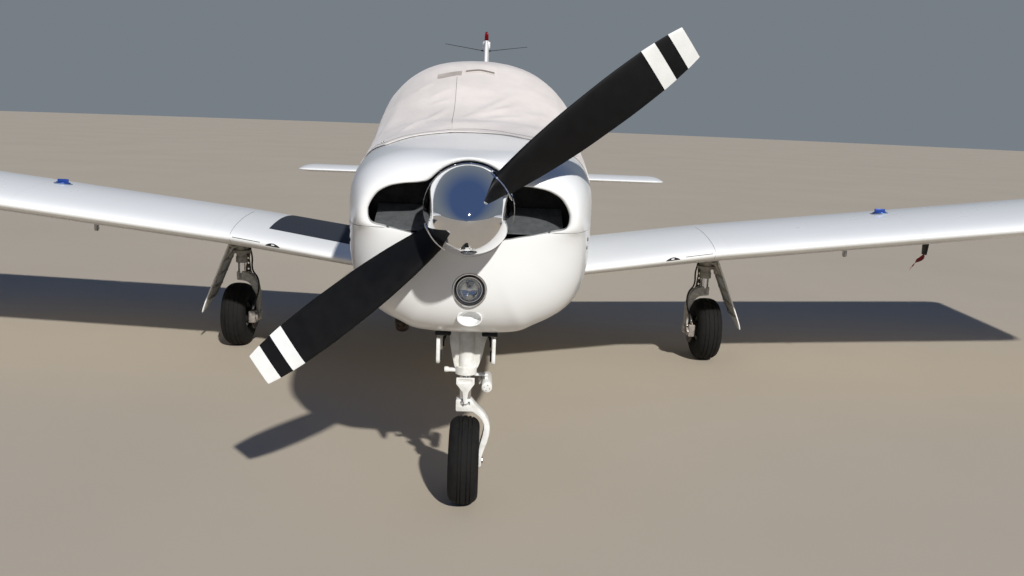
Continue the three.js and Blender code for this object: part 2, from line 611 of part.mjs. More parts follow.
// height, lowest x, highest x, half length: a barrel with webs, wider on the damper's side
const housing = loft([
  [860, -70, 86, 60], [725, -70, 86, 58], [681, -67, 76, 54], [630, -58, 64, 50],
  [592, -50, 53, 46], [580, -45, 46, 45], [NOSE.collarBottom, -44, 44, 44],
].map(([z, low, high, b]) => Array.from({ length: 24 }, (_, i) => {
  const angle = (i / 24) * 2 * Math.PI;
  return point((low + high) / 2 + ((high - low) / 2) * Math.cos(angle), NOSE_GEAR_Y + b * Math.sin(angle), z);
})));
const NOSE_TRUNNION = rod(point(-150, NOSE_GEAR_Y + 10, 800), point(150, NOSE_GEAR_Y + 10, 800), 20, 16);
const DAMPER = { x: 87, z: 512, radius: 21.5, front: NOSE_GEAR_Y - 60, back: NOSE_GEAR_Y + 110 };
const damper = join(
  rod(point(DAMPER.x, DAMPER.front, DAMPER.z), point(DAMPER.x, DAMPER.back, DAMPER.z), DAMPER.radius, 16),
  box(32, DAMPER.x + 6, NOSE_GEAR_Y - 8, NOSE_GEAR_Y + 22, 547, 560),
  box(DAMPER.x - 10, DAMPER.x + 6, NOSE_GEAR_Y - 8, NOSE_GEAR_Y + 22, DAMPER.z, 560),
);
const towLug = box(-88, -40, NOSE_GEAR_Y - 12, NOSE_GEAR_Y + 12, 560, 576);
add("nose_leg", join(housing, NOSE_TRUNNION, drag(1), drag(-1), damper, towLug)
  .subtract(box(-FAR, FAR, FIREWALL_Y - GAP, FAR, 0, FAR)), looks.legPaint);

const AXLE_Z = NOSE_TYRE.radius;
const forkArm = plate("y", [
  [-37, NOSE.forkBottom], [-37, NOSE.forkTop], [28, NOSE.forkTop], [56, 413], [82, 388], [97, 363],
  [104.5, 338], [104, 307], [96.5, 271], [86, 240], [76, 210], [74, 160], [59.5, 160], [59.5, 205],
  [66, 258], [75.5, 295], [80.5, 325], [80, 344], [72.5, 362], [57, 380], [33, NOSE.forkBottom],
], NOSE_GEAR_Y - 27, NOSE_GEAR_Y + 27);
add("nose_fork", join(
  forkArm,
  rod(point(0, NOSE_GEAR_Y, NOSE.forkBottom + 20), point(0, NOSE_GEAR_Y, NOSE.collarBottom - 6), 24, 20),
  rod(point(NOSE.wheelX - 58, NOSE_GEAR_Y, AXLE_Z), point(78, NOSE_GEAR_Y, AXLE_Z), NOSE.axle, 16),
), looks.legPaint);
add("nose_torque_link", plate("y", [
  [-37, 549], [-37, 521], [-10, 486], [-6, 434], [8, 434], [14, 486], [37, 521], [37, 549],
], NOSE_GEAR_Y - 54, NOSE_GEAR_Y - 40)
  .add(box(-30, 30, NOSE_GEAR_Y - 54, NOSE_GEAR_Y - 24.4, 522, 541))
  .add(box(-6, 8, NOSE_GEAR_Y - 54, NOSE_GEAR_Y - 27.3, 434, 447)), looks.legPaint);
add("nose_tyre", tyre(NOSE_TYRE, NOSE.wheelX, NOSE_GEAR_Y, AXLE_Z), looks.rubber);
add("nose_wheel", wheel(NOSE_TYRE, NOSE.axle, NOSE.wheelX, NOSE_GEAR_Y, AXLE_Z), looks.greyMetal);
for (const [side, sign] of TRACKS) {
  const outline = [[-2545, 736], [-2545, 640], [-2525, 628], [-2080, 628], [-2030, 660], [-2030, 690]];
  const door = plate("x", outline, 100, 116).subtract(bodyLoft(NOSE_FACE_Y, FIREWALL_Y, GAP));
  add(`nose_door_${side}`, sided(door, sign), paint);
}

// Main gear: trunnion, oleo and one-sided fork, brake, outer door
const MAIN = { x: 1552, trunnionZ: 712, axle: 18 };
for (const [side, sign] of TRACKS) {
  const z = MAIN_TYRE.radius;
  const trunnion = rod(point(MAIN.x, -190, MAIN.trunnionZ), point(MAIN.x, 190, MAIN.trunnionZ), 24, 16);
  // height, half width, half length
  const castingRings = [
    [MAIN.trunnionZ + 26, 40, 60], [646, 40, 44], [641, 61, 50], [624, 61, 50], [619, 40, 40], [558, 38, 38],
  ];
  const casting = loft(castingRings.map(([h, a, b]) =>
    Array.from({ length: 20 }, (_, i) => {
      const angle = (i / 20) * 2 * Math.PI;
      return point(MAIN.x + a * Math.cos(angle), b * Math.sin(angle), h);
    })));
  const oleo = rod(point(MAIN.x, 0, 580), point(MAIN.x, 0, 490), 26, 20);
  const drop = join(
    rod(point(MAIN.x - 14, 30, 640), point(MAIN.x - 26, 90, 552), 9, 10),
    rod(point(MAIN.x - 26, 90, 552), point(MAIN.x - 12, 20, 470), 9, 10),
  );
  const fork = plate("y", [
    [MAIN.x + 28, 442], [MAIN.x + 28, 500], [MAIN.x - 20, 500], [MAIN.x - 68, 480], [MAIN.x - 97, 447],
    [MAIN.x - 110, 408], [MAIN.x - 120, 355], [MAIN.x - 121, 170], [MAIN.x - 97, 170], [MAIN.x - 98, 342],
    [MAIN.x - 79, 380], [MAIN.x - 52, 424], [MAIN.x - 20, 438],
  ], -30, 30);
  const axle = rod(point(MAIN.x - 116, 0, z), point(TRACK_HALF + 54, 0, z), MAIN.axle, 16);
  const brakeX = TRACK_HALF - 106;
  const caliper = box(brakeX - 32, brakeX + 22, -118, -72, z - 38, z + 50)
    .add(box(brakeX - 34, brakeX - 18, -110, 10, z - 20, z + 20))
    .subtract(rod(point(brakeX - 9, 0, z), point(brakeX + 9, 0, z), 112, 32));
  const leg = join(trunnion, casting, oleo, drop, fork, axle, caliper);
  add(`main_leg_${side}`, sided(leg, sign), looks.greyMetal);

  add(`main_tyre_${side}`, sided(tyre(MAIN_TYRE, TRACK_HALF, 0, z), sign), looks.rubber);
  const disc = rod(point(brakeX - 3, 0, z), point(brakeX + 3, 0, z), 98, 32);
  const carrier = rod(point(brakeX - 3, 0, z), point(TRACK_HALF - 40, 0, z), 52, 20);
  const bearing = rod(point(brakeX - 20, 0, z), point(TRACK_HALF, 0, z), MAIN.axle + 5, 16);
  add(`main_wheel_${side}`, sided(join(wheel(MAIN_TYRE, MAIN.axle, TRACK_HALF, 0, z),
    join(disc, carrier).subtract(bearing)), sign), looks.greyMetal);

  const doorRing = (x, h, y0, y1) =>
    [point(x - 5, y0, h), point(x + 5, y0, h), point(x + 5, y1, h), point(x - 5, y1, h)];
  const door = loft([
    doorRing(1601, 696, -120, 120), doorRing(1657, 560, -130, 130), doorRing(1753, 330, -120, 120),
    doorRing(1780, 262, -110, 20), doorRing(1791, 228, -100, -60),
  ]);
  const link = rod(point(MAIN.x + 30, 0, 642), point(1638, 0, 606), 8, 10);
  add(`main_door_${side}`, sided(door.add(link.subtract(casting)), sign), paint);
}

// Small fittings under the body
const exhaustAt = (back, up) => point(EXHAUST.x, EXHAUST.y + back, EXHAUST.z + up);
add("exhaust_pipe",
  rod(exhaustAt(-60, 150), exhaustAt(40, -60), EXHAUST.radius, 20)
    .subtract(rod(exhaustAt(-20, 80), exhaustAt(60, -100), EXHAUST.radius - 4, 20)),
  looks.darkMetal);

const PITOT = { x: 2770, y: -500, half: 9, bottom: 841 };
const pitotTop = chordLine(PITOT.x, PITOT.y) - 40;
add("pitot_mast", loft([[pitotTop, 60], [PITOT.bottom, 42]].map(([z, length]) => [
  point(PITOT.x - PITOT.half, PITOT.y, z), point(PITOT.x, PITOT.y - length, z),
  point(PITOT.x + PITOT.half, PITOT.y, z), point(PITOT.x, PITOT.y + length * 0.4, z),
])).subtract(loft(WING_STATIONS.map(wingRing))), looks.darkMetal);

// Warning ribbon that hangs from the mast and is blown aside
const RIBBON = { half: 12, thick: 4, drop: 88, drift: 82 };
{
  const [front, back] = [PITOT.y - 16 - RIBBON.half, PITOT.y - 16 + RIBBON.half];
  const strip = plate("x", [[front, 0], [back, 0], [back, RIBBON.thick], [front, RIBBON.thick]],
    -Math.hypot(RIBBON.drop, RIBBON.drift), 0);
  const slant = THREE.MathUtils.radToDeg(Math.atan2(RIBBON.drop, RIBBON.drift));
  add("pitot_streamer", strip.rotate([0, -slant, 0])
    .translate([PITOT.x, 0, PITOT.bottom - GAP - RIBBON.thick]), looks.ribbon);
}

export default aircraft;
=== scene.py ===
import json
import math

import bmesh
import bpy
import numpy as np
from bpy.props import FloatProperty, FloatVectorProperty, PointerProperty
from bpy.types import Operator, Panel, PropertyGroup
from mathutils import Matrix, Vector, noise


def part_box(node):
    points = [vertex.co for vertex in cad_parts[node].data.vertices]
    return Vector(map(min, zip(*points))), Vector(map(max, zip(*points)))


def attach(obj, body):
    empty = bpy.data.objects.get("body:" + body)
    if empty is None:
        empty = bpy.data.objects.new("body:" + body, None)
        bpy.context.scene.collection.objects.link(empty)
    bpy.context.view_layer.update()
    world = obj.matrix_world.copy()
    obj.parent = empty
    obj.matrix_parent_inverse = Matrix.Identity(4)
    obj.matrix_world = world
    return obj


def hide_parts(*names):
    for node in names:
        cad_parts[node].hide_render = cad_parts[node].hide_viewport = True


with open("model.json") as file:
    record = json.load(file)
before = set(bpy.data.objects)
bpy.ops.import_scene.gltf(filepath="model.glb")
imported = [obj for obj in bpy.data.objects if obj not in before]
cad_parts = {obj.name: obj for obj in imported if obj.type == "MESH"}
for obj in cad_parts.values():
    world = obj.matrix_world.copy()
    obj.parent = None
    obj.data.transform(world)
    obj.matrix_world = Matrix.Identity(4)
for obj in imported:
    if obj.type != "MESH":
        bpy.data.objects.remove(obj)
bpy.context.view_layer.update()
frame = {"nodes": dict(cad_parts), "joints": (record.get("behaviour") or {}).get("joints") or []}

bl_info = {
    "name": "Covered light aircraft",
    "version": (1, 0, 0),
    "blender": (4, 5, 0),
    "location": "View3D > Sidebar > Aircraft",
    "description": "Dresses the frame of a low-wing light aircraft that is parked under its cabin cover",
    "category": "Add Mesh",
}

JOINTS = {joint["name"]: joint for joint in frame["joints"]}
HUB = Vector(JOINTS["propeller_spin"]["pos_m"])
NOSE_AXLE = Vector(JOINTS["nose_wheel_spin"]["pos_m"])
MAIN_AXLE = Vector(JOINTS["main_wheel_left_spin"]["pos_m"])
SPLIT_Z = (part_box("cowl_upper")[0].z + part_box("cowl_lower")[1].z) / 2
SILL_Z = (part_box("cabin_lower")[1].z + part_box("cabin_roof")[0].z) / 2


def at(x, y, z):
    """A point whose y is given in metres behind the main wheels' axle."""
    return np.array((x, MAIN_AXLE.y + y, z))


def row_y(y):
    """The same for y alone."""
    return MAIN_AXLE.y + y


def points_at(x, y, z):
    """The same for arrays of coordinates, as an array of points."""
    return np.stack([x, MAIN_AXLE.y + y, z], axis=1)


def from_hex(code):
    """An sRGB colour such as #f2f2ee as linear red, green and blue."""
    values = [int(code[i:i + 2], 16) / 255 for i in (1, 3, 5)]
    return tuple(v / 12.92 if v <= 0.04045 else ((v + 0.055) / 1.055) ** 2.4 for v in values)


class AircraftSizes(PropertyGroup):
    """Sizes that a user would change."""
    rivet_pitch: FloatProperty(name="Rivet pitch", description="Between rivets along a row",
                               default=0.032, min=0.01, unit="LENGTH")
    lip_radius: FloatProperty(name="Inlet lip", description="Radius of the rounded lip above the inlets",
                              default=0.012, min=0.004, unit="LENGTH")
    tip_band: FloatProperty(name="Blade band", description="Width of each painted band at a blade's tip",
                            default=0.052, min=0.01, unit="LENGTH")
    tread_groove: FloatProperty(name="Tread groove", description="Width of a groove round a tyre",
                                default=0.005, min=0.001, unit="LENGTH")
    cloth_thickness: FloatProperty(name="Canvas", description="Thickness of the cover's canvas",
                                   default=0.002, min=0.0005, unit="LENGTH")
    fold_depth: FloatProperty(name="Folds", description="Height of the folds in the cover",
                              default=0.007, min=0.0, unit="LENGTH")


def colour_property(name, description, code):
    return FloatVectorProperty(name=name, description=description, subtype="COLOR", size=3, min=0, max=1,
                               default=from_hex(code))


class AircraftColours(PropertyGroup):
    """Colours that a user would change."""
    skin: colour_property("Skin", "White enamel of the airframe", "#f1f1ee")
    canvas: colour_property("Canvas", "Sun-bleached canvas of the cover", "#e4dbd3")
    blade: colour_property("Blade", "Satin black of the propeller", "#0b0b0c")
    band: colour_property("Band", "White bands at the blades' tips", "#f0f0ec")
    gear: colour_property("Main gear", "Weathered grey enamel of the main gear", "#a9a69c")
    walkway: colour_property("Walkway", "Grit coating on the wing root", "#262d38")
    cap: colour_property("Fuel cap", "Anodised fuel caps", "#2d4f9e")
    ribbon: colour_property("Streamer", "Warning streamer on the pitot mast", "#8c1418")
    floor: colour_property("Floor", "Studio floor", "#b5aa99")
    sky: colour_property("Backdrop", "Studio light above the horizon", "#848c94")


def sizes():
    return bpy.context.scene.aircraft_sizes


def colours():
    return bpy.context.scene.aircraft_colours


# Shaping

def deselect():
    if bpy.context.mode != "OBJECT":
        bpy.ops.object.mode_set(mode="OBJECT")
    bpy.ops.object.select_all(action="DESELECT")


def make_active(obj):
    deselect()
    obj.select_set(True)
    bpy.context.view_layer.objects.active = obj
    return obj


def named(name):
    obj = bpy.context.object
    obj.name = name
    obj.data.name = name
    return obj


def settle(obj):
    """Puts the object's place into its mesh."""
    make_active(obj)
    bpy.ops.object.transform_apply(location=True, rotation=True, scale=True)
    return obj


def modify(obj, kind, **settings):
    make_active(obj)
    modifier = obj.modifiers.new(kind.title(), kind)
    for key, value in settings.items():
        setattr(modifier, key, value)
    bpy.ops.object.modifier_apply(modifier=modifier.name)
    return obj


def bevelled(obj, width, segments=2, angle=35):
    return modify(obj, "BEVEL", width=width, segments=segments, limit_method="ANGLE",
                  angle_limit=math.radians(angle), harden_normals=False)


def shaded(obj, angle=35):
    make_active(obj)
    bpy.ops.object.shade_smooth_by_angle(angle=math.radians(angle))
    return obj


def carved(obj, tool, operation="DIFFERENCE"):
    """Cuts the tool out of obj, or keeps what both share, and removes the tool."""
    modify(obj, "BOOLEAN", operation=operation, object=tool, solver="EXACT")
    bpy.data.objects.remove(tool, do_unlink=True)
    return obj


def edited(obj, work):
    """Runs work(mesh) on the object in edit mode, with everything deselected first."""
    make_active(obj)
    bpy.ops.object.mode_set(mode="EDIT")
    bpy.ops.mesh.select_all(action="DESELECT")
    mesh = bmesh.from_edit_mesh(obj.data)
    work(mesh)
    bpy.ops.object.mode_set(mode="OBJECT")
    return obj


def outward(obj):
    def work(mesh):
        bpy.ops.mesh.select_all(action="SELECT")
        bpy.ops.mesh.normals_make_consistent(inside=False)
    return edited(obj, work)


def joined(name, *parts):
    """One mesh from several, which keeps their materials."""
    make_active(parts[0])
    for part in parts:
        part.select_set(True)
    if len(parts) > 1:
        bpy.ops.object.join()
    return named(name)


def copied(obj, name):
    make_active(obj)
    bpy.ops.object.duplicate()
    return named(name)


def mirrored(obj, name):
    """A copy on the other side of the aircraft, with its faces pointing outwards."""
    twin = copied(obj, name)
    twin.data.transform(Matrix.Scale(-1, 4, (1, 0, 0)))
    def work(mesh):
        bpy.ops.mesh.select_all(action="SELECT")
        bpy.ops.mesh.flip_normals()
    return edited(twin, work)


def block(name, low, high, bevel=0.0, segments=2):
    deselect()
    low, high = Vector(low), Vector(high)
    bpy.ops.mesh.primitive_cube_add(size=1, location=(low + high) / 2)
    obj = named(name)
    obj.scale = high - low
    settle(obj)
    return bevelled(obj, bevel, segments) if bevel else obj


def drum(name, start, end, radius, end_radius=None, bevel=0.0, sides=32):
    """A cylinder or cone between two points."""
    deselect()
    start, end = Vector(start), Vector(end)
    bpy.ops.mesh.primitive_cone_add(
        vertices=sides, radius1=radius, radius2=radius if end_radius is None else end_radius,
        depth=(end - start).length, location=(start + end) / 2,
        rotation=Vector((0, 0, 1)).rotation_difference(end - start).to_euler())
    obj = settle(named(name))
    return bevelled(obj, bevel) if bevel else obj


def pin(name, reach, y, z, *radii, **shape):
    """A drum across the aircraft, from x to x; y is given as for at()."""
    return drum(name, at(reach[0], y, z), at(reach[1], y, z), *radii, **shape)


def hoop(name, centre, axis, radius, thickness, sides=48, round_sides=12):
    deselect()
    bpy.ops.mesh.primitive_torus_add(
        major_segments=sides, minor_segments=round_sides, major_radius=radius, minor_radius=thickness,
        location=centre, rotation=Vector((0, 0, 1)).rotation_difference(Vector(axis)).to_euler())
    return settle(named(name))


def grid_skin(name, around, along, place, closed=True):
    """A grid bent by place(u, v), which gives points. Its UV map has the skin's own lengths in metres."""
    deselect()
    bpy.ops.mesh.primitive_grid_add(x_subdivisions=around, y_subdivisions=along, size=2)
    obj = named(name)
    mesh = obj.data
    flat = np.empty(len(mesh.vertices) * 3)
    mesh.vertices.foreach_get("co", flat)
    u, v = (flat.reshape(-1, 3)[:, :2].T + 1) / 2
    points = np.asarray(place(u, v), float)
    mesh.vertices.foreach_set("co", points.ravel())
    rows = points.reshape(along + 1, around + 1, 3)
    across = np.pad(np.cumsum(np.linalg.norm(np.diff(rows, axis=1), axis=2), axis=1), ((0, 0), (1, 0)))
    length = np.pad(np.cumsum(np.linalg.norm(np.diff(rows, axis=0), axis=2), axis=0), ((1, 0), (0, 0)))
    across = across - across[:, around // 2, None]
    length = np.broadcast_to(length.mean(axis=1, keepdims=True), across.shape)
    corners = np.empty(len(mesh.loops), int)
    mesh.loops.foreach_get("vertex_index", corners)
    spread = np.stack([across.ravel(), length.ravel()], axis=1)[corners]
    mesh.uv_layers.active.data.foreach_set("uv", spread.ravel())
    mesh.update()

    def weld(mesh):
        bpy.ops.mesh.select_all(action="SELECT")
        bpy.ops.mesh.remove_doubles(threshold=1e-5)
        bpy.ops.mesh.select_all(action="DESELECT")
        bpy.ops.mesh.select_non_manifold(extend=False, use_wire=False, use_multi_face=False,
                                         use_non_contiguous=False, use_verts=False)
        if closed:
            bpy.ops.mesh.fill_holes(sides=0)
        bpy.ops.mesh.select_all(action="SELECT")
        bpy.ops.mesh.normals_make_consistent(inside=False)
        middle = sum((face.calc_center_median() for face in mesh.faces), Vector()) / len(mesh.faces)
        if sum(face.normal.dot(face.calc_center_median() - middle) for face in mesh.faces) < 0:
            bpy.ops.mesh.flip_normals()
    return edited(obj, weld)


def loft(name, rings):
    """A closed skin through rings that have as many points each."""
    rings = np.array(rings, float)
    rows, count = rings.shape[:2]

    def place(u, v):
        return rings[np.rint(v * (rows - 1)).astype(int), np.rint(u * count).astype(int) % count]
    return grid_skin(name, count, rows - 1, place)


def turned(name, profile, centre, axis, steps=64):
    """A closed shape of revolution: profile has (reach along the axis, radius) from end to end."""
    axis = Vector(axis).normalized()
    side = axis.orthogonal().normalized()
    other = axis.cross(side)
    reach, radius = np.array(profile, float).T
    rows = len(profile) - 1

    def place(u, v):
        angle = 2 * math.pi * u
        s, r = np.interp(v * rows, range(rows + 1), reach), np.interp(v * rows, range(rows + 1), radius)
        return (np.array(centre)[None, :] + s[:, None] * np.array(axis) + (r * np.cos(angle))[:, None]
                * np.array(side) + (r * np.sin(angle))[:, None] * np.array(other))
    return grid_skin(name, steps, rows, place)


def hose(name, points, radius, sides=3):
    """A round tube along a smooth line through the points."""
    deselect()
    curve = bpy.data.curves.new(name, "CURVE")
    curve.dimensions = "3D"
    curve.bevel_depth = radius
    curve.bevel_resolution = sides
    curve.use_fill_caps = True
    line = curve.splines.new("BEZIER")
    line.bezier_points.add(len(points) - 1)
    for knot, place in zip(line.bezier_points, points):
        knot.co = place
        knot.handle_left_type = knot.handle_right_type = "AUTO"
    line.resolution_u = 8
    obj = bpy.data.objects.new(name, curve)
    bpy.context.collection.objects.link(obj)
    make_active(obj)
    bpy.ops.object.convert(target="MESH")
    return outward(named(name))


def prism(name, outline, axis, start, end, bevel=0.0):
    """A flat outline in the two axes other than axis, given thickness from start to end along it."""
    deselect()
    bpy.ops.mesh.primitive_circle_add(vertices=len(outline), radius=1, fill_type="NGON")
    obj = named(name)
    for vertex, (a, b) in zip(obj.data.vertices, outline):
        vertex.co = {"x": (start, a, b), "y": (a, start, b), "z": (a, b, start)}[axis]
    push = [end - start if letter == axis else 0 for letter in "xyz"]

    def work(mesh):
        bpy.ops.mesh.select_all(action="SELECT")
        bpy.ops.mesh.extrude_region_move(TRANSFORM_OT_translate={"value": push})
        bpy.ops.mesh.select_all(action="SELECT")
        bpy.ops.mesh.normals_make_consistent(inside=False)
    edited(obj, work)
    return bevelled(obj, bevel) if bevel else obj


def scattered(name, pattern, places):
    """Copies of one small part, joined: each place is a point, with the direction its top points to."""
    base = [tuple(v.co) for v in pattern.data.vertices]
    faces = [tuple(p.vertices) for p in pattern.data.polygons]
    points, polygons = [], []
    for place, direction in places:
        turn = Vector((0, 0, 1)).rotation_difference(Vector(direction)).to_matrix()
        offset = len(points)
        points += [Vector(place) + turn @ Vector(p) for p in base]
        polygons += [tuple(offset + i for i in face) for face in faces]
    mesh = bpy.data.meshes.new(name)
    mesh.from_pydata(points, [], polygons)
    for material in pattern.data.materials:
        mesh.materials.append(material)
    mesh.update()
    obj = bpy.data.objects.new(name, mesh)
    bpy.context.collection.objects.link(obj)
    bpy.data.objects.remove(pattern, do_unlink=True)
    return make_active(obj)


def painted(obj, *materials, pick=None):
    """Gives the materials; pick(face centre, normal) chooses one by its number."""
    obj.data.materials.clear()
    for material in materials:
        obj.data.materials.append(material)
    if pick:
        for face in obj.data.polygons:
            face.material_index = pick(face.center, face.normal)
    return obj


def coated(look, *objects, angle=35):
    """Gives one finish and smooth shading, and returns the object, or all of them."""
    for obj in objects:
        shaded(painted(obj, finish(look)), angle)
    return objects[0] if len(objects) == 1 else objects


def placed(obj, body, slot, *nodes):
    """The piece moves with a body and stands for the nodes, whose meshes are hidden; slot is not used."""
    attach(obj, body)
    if nodes:
        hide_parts(*nodes)
    return obj


def placed_both(left, body, slot, node=None):
    """Places a left-hand piece and its mirror image; {} in body and node stands for the side."""
    right = mirrored(left, left.name.replace("left", "right"))
    for obj, side in ((left, "left"), (right, "right")):
        placed(obj, body.format(side), slot, *([node.format(side)] if node else []))


def eased(values, low, high):
    """0 below low, 1 above high, smooth between."""
    share = np.clip((np.asarray(values, float) - low) / (high - low), 0, 1)
    return share * share * (3 - 2 * share)


def smooth_columns(rows):
    """A function that gives a table's other columns at any value of its first, without overshoot."""
    table = np.array(rows, float)
    x, columns = table[:, 0], table[:, 1:]
    gap = np.diff(x)[:, None]
    rise = np.diff(columns, axis=0) / gap
    slope = np.zeros_like(columns)
    same = rise[1:] * rise[:-1] > 0
    slope[1:-1] = np.where(same, 2 * rise[1:] * rise[:-1] / np.where(same, rise[1:] + rise[:-1], 1), 0)
    slope[0], slope[-1] = rise[0], rise[-1]

    def look_up(value):
        value = np.clip(np.asarray(value, float), x[0], x[-1])
        k = np.clip(np.searchsorted(x, value) - 1, 0, len(x) - 2)
        step = (x[k + 1] - x[k])[..., None]
        t = (value[..., None] - x[k][..., None]) / step
        return ((1 + 2 * t) * (1 - t) ** 2 * columns[k] + t * (1 - t) ** 2 * step * slope[k]
                + t * t * (3 - 2 * t) * columns[k + 1] + t * t * (t - 1) * step * slope[k + 1])
    return look_up


def row_of(rows, v):
    """The rows of a table at shares v of the way from its first to its last."""
    return np.asarray(rows)[np.rint(v * (len(rows) - 1)).astype(int)]


# Finishes

def add_node(tree, kind, inputs=(), **settings):
    """Adds a node with its settings, values and links."""
    node = tree.nodes.new(kind)
    for key, value in settings.items():
        setattr(node, key, value)
    for key, value in dict(inputs).items():
        if isinstance(value, bpy.types.NodeSocket):
            tree.links.new(value, node.inputs[key])
        else:
            node.inputs[key].default_value = value
    return node


def new_finish(name, values):
    """A material, its node tree and its shader, with the values that are the same all over."""
    material = bpy.data.materials.new(name)
    material.use_nodes = True
    tree = material.node_tree
    shader = tree.nodes["Principled BSDF"]
    for key, value in values.items():
        shader.inputs[key].default_value = value
    return material, tree, shader


def rgba(colour):
    return (*colour, 1)


def two_colours(colour, other):
    """Linear colours from hex codes or red, green and blue; the second may be a factor on the first."""
    first = from_hex(colour) if isinstance(colour, str) else tuple(colour)
    second = from_hex(other) if isinstance(other, str) else tuple(min(1, c * other) for c in first)
    return first, second


def maths(tree, operation, *values):
    """Output of a node that works on values or sockets."""
    return add_node(tree, "ShaderNodeMath", enumerate(values), operation=operation).outputs[0]


def ranged(tree, value, low, high, start=0.0, end=1.0):
    """Output of a node that turns low to high into start to end."""
    return add_node(tree, "ShaderNodeMapRange", {"Value": value, "From Min": low, "From Max": high,
                                                 "To Min": start, "To Max": end}).outputs[0]


def bumped(tree, shader, height, distance, strength=1.0):
    """Gives the shader a bump in which a height of 1 stands for a distance in metres."""
    bump = add_node(tree, "ShaderNodeBump", {"Height": height, "Distance": distance, "Strength": strength})
    tree.links.new(bump.outputs[0], shader.inputs["Normal"])


def mottled(tree, shader, colour, other, size_mm, roughness, bump_mm=0.0, detail=4):
    """Uneven colour and roughness in spots of size_mm, and a bump of the same spots."""
    place = add_node(tree, "ShaderNodeTexCoord")
    spots = add_node(tree, "ShaderNodeTexNoise",
                     {"Vector": place.outputs["Object"], "Scale": 1000 / size_mm, "Detail": detail,
                      "Roughness": 0.6}).outputs["Fac"]
    first, second = two_colours(colour, other)
    mix = add_node(tree, "ShaderNodeMix",
                   {0: ranged(tree, spots, 0.35, 0.65), 6: rgba(first), 7: rgba(second)}, data_type="RGBA")
    tree.links.new(mix.outputs[2], shader.inputs["Base Color"])
    tree.links.new(ranged(tree, spots, 0.3, 0.7, *roughness), shader.inputs["Roughness"])
    if bump_mm:
        bumped(tree, shader, spots, bump_mm / 1000)
    return place


def gloss_enamel():
    """Sprayed polyurethane enamel: bright white with a clear gloss, dulled in places by dust."""
    material, tree, shader = new_finish("white_polyurethane_enamel",
                                        {"Coat Weight": 0.35, "Coat Roughness": 0.08})
    mottled(tree, shader, colours().skin, 0.95, 900, (0.24, 0.36))
    return material


def riveted_enamel():
    """The same enamel over riveted sheet: rows of rivet heads along the frames, and lapped seams."""
    material, tree, shader = new_finish("riveted_white_enamel",
                                        {"Coat Weight": 0.3, "Coat Roughness": 0.08})
    place = mottled(tree, shader, colours().skin, 0.94, 900, (0.24, 0.38))
    axes = add_node(tree, "ShaderNodeSeparateXYZ", {0: place.outputs["UV"]})
    rib_gap, stringer_gap, rivet, seam, lap_half = 0.38, 0.30, 0.0026, 0.0007, 0.012
    pitch = sizes().rivet_pitch

    def to_row(axis, gap):
        return maths(tree, "PINGPONG", axes.outputs[axis], gap / 2)

    def head(row, step):
        squares = [maths(tree, "MULTIPLY", reach, reach) for reach in (row, step)]
        return ranged(tree, maths(tree, "ADD", *squares), rivet ** 2, 0.0)
    heads = maths(tree, "MAXIMUM", head(to_row("Y", rib_gap), to_row("X", pitch)),
                  head(to_row("X", stringer_gap), to_row("Y", pitch)))
    lap = ranged(tree, to_row("Y", rib_gap * 3), lap_half, lap_half + seam, 1.0, 0.0)
    bumped(tree, shader, maths(tree, "ADD", heads, lap), 0.0007, 0.9)
    return material


def cast_finish(name, colour, other, metallic, roughness, size_mm=14, bump_mm=0.25, specular=0.5):
    """Painted or bare metal with grime in random spots."""
    material, tree, shader = new_finish(name, {"Metallic": metallic, "Specular IOR Level": specular})
    mottled(tree, shader, colour, other, size_mm, roughness, bump_mm)
    return material


def chrome_plate():
    """Polished chrome plate: a mirror with the faintest haze and waviness."""
    material, tree, shader = new_finish("polished_chrome_plate",
                                        {"Metallic": 1.0, "Base Color": rgba(from_hex("#e4e5e8"))})
    place = add_node(tree, "ShaderNodeTexCoord")
    haze = add_node(tree, "ShaderNodeTexNoise", {"Vector": place.outputs["Object"], "Scale": 1000 / 60.0,
                                                 "Detail": 3.0}).outputs["Fac"]
    tree.links.new(ranged(tree, haze, 0.0, 1.0, 0.015, 0.07), shader.inputs["Roughness"])
    bumped(tree, shader, haze, 0.0002)
    return material


def lens(name, code, roughness=0.03):
    """Clear moulded lens: light goes through and takes the colour."""
    return new_finish(name, {"Roughness": roughness, "Transmission Weight": 1.0,
                             "Base Color": rgba(from_hex(code))})[0]


def woven(name, colour, other, thread_mm, bump_mm):
    """Plain-woven cloth: crossing threads in the bump, uneven fading in the colour."""
    material, tree, shader = new_finish(name, {"Sheen Weight": 0.25})
    place = mottled(tree, shader, colour, other, 260, (0.85, 0.9), detail=5)
    axes = add_node(tree, "ShaderNodeSeparateXYZ", {0: place.outputs["UV"]})
    turns = 2 * math.pi * 1000 / thread_mm
    waves = [maths(tree, "SINE", maths(tree, "MULTIPLY", axes.outputs[axis], turns)) for axis in "XY"]
    bumped(tree, shader, maths(tree, "MULTIPLY", *waves), bump_mm / 1000, 0.5)
    return material


FINISHES = {}


def finish(name):
    return FINISHES[name]


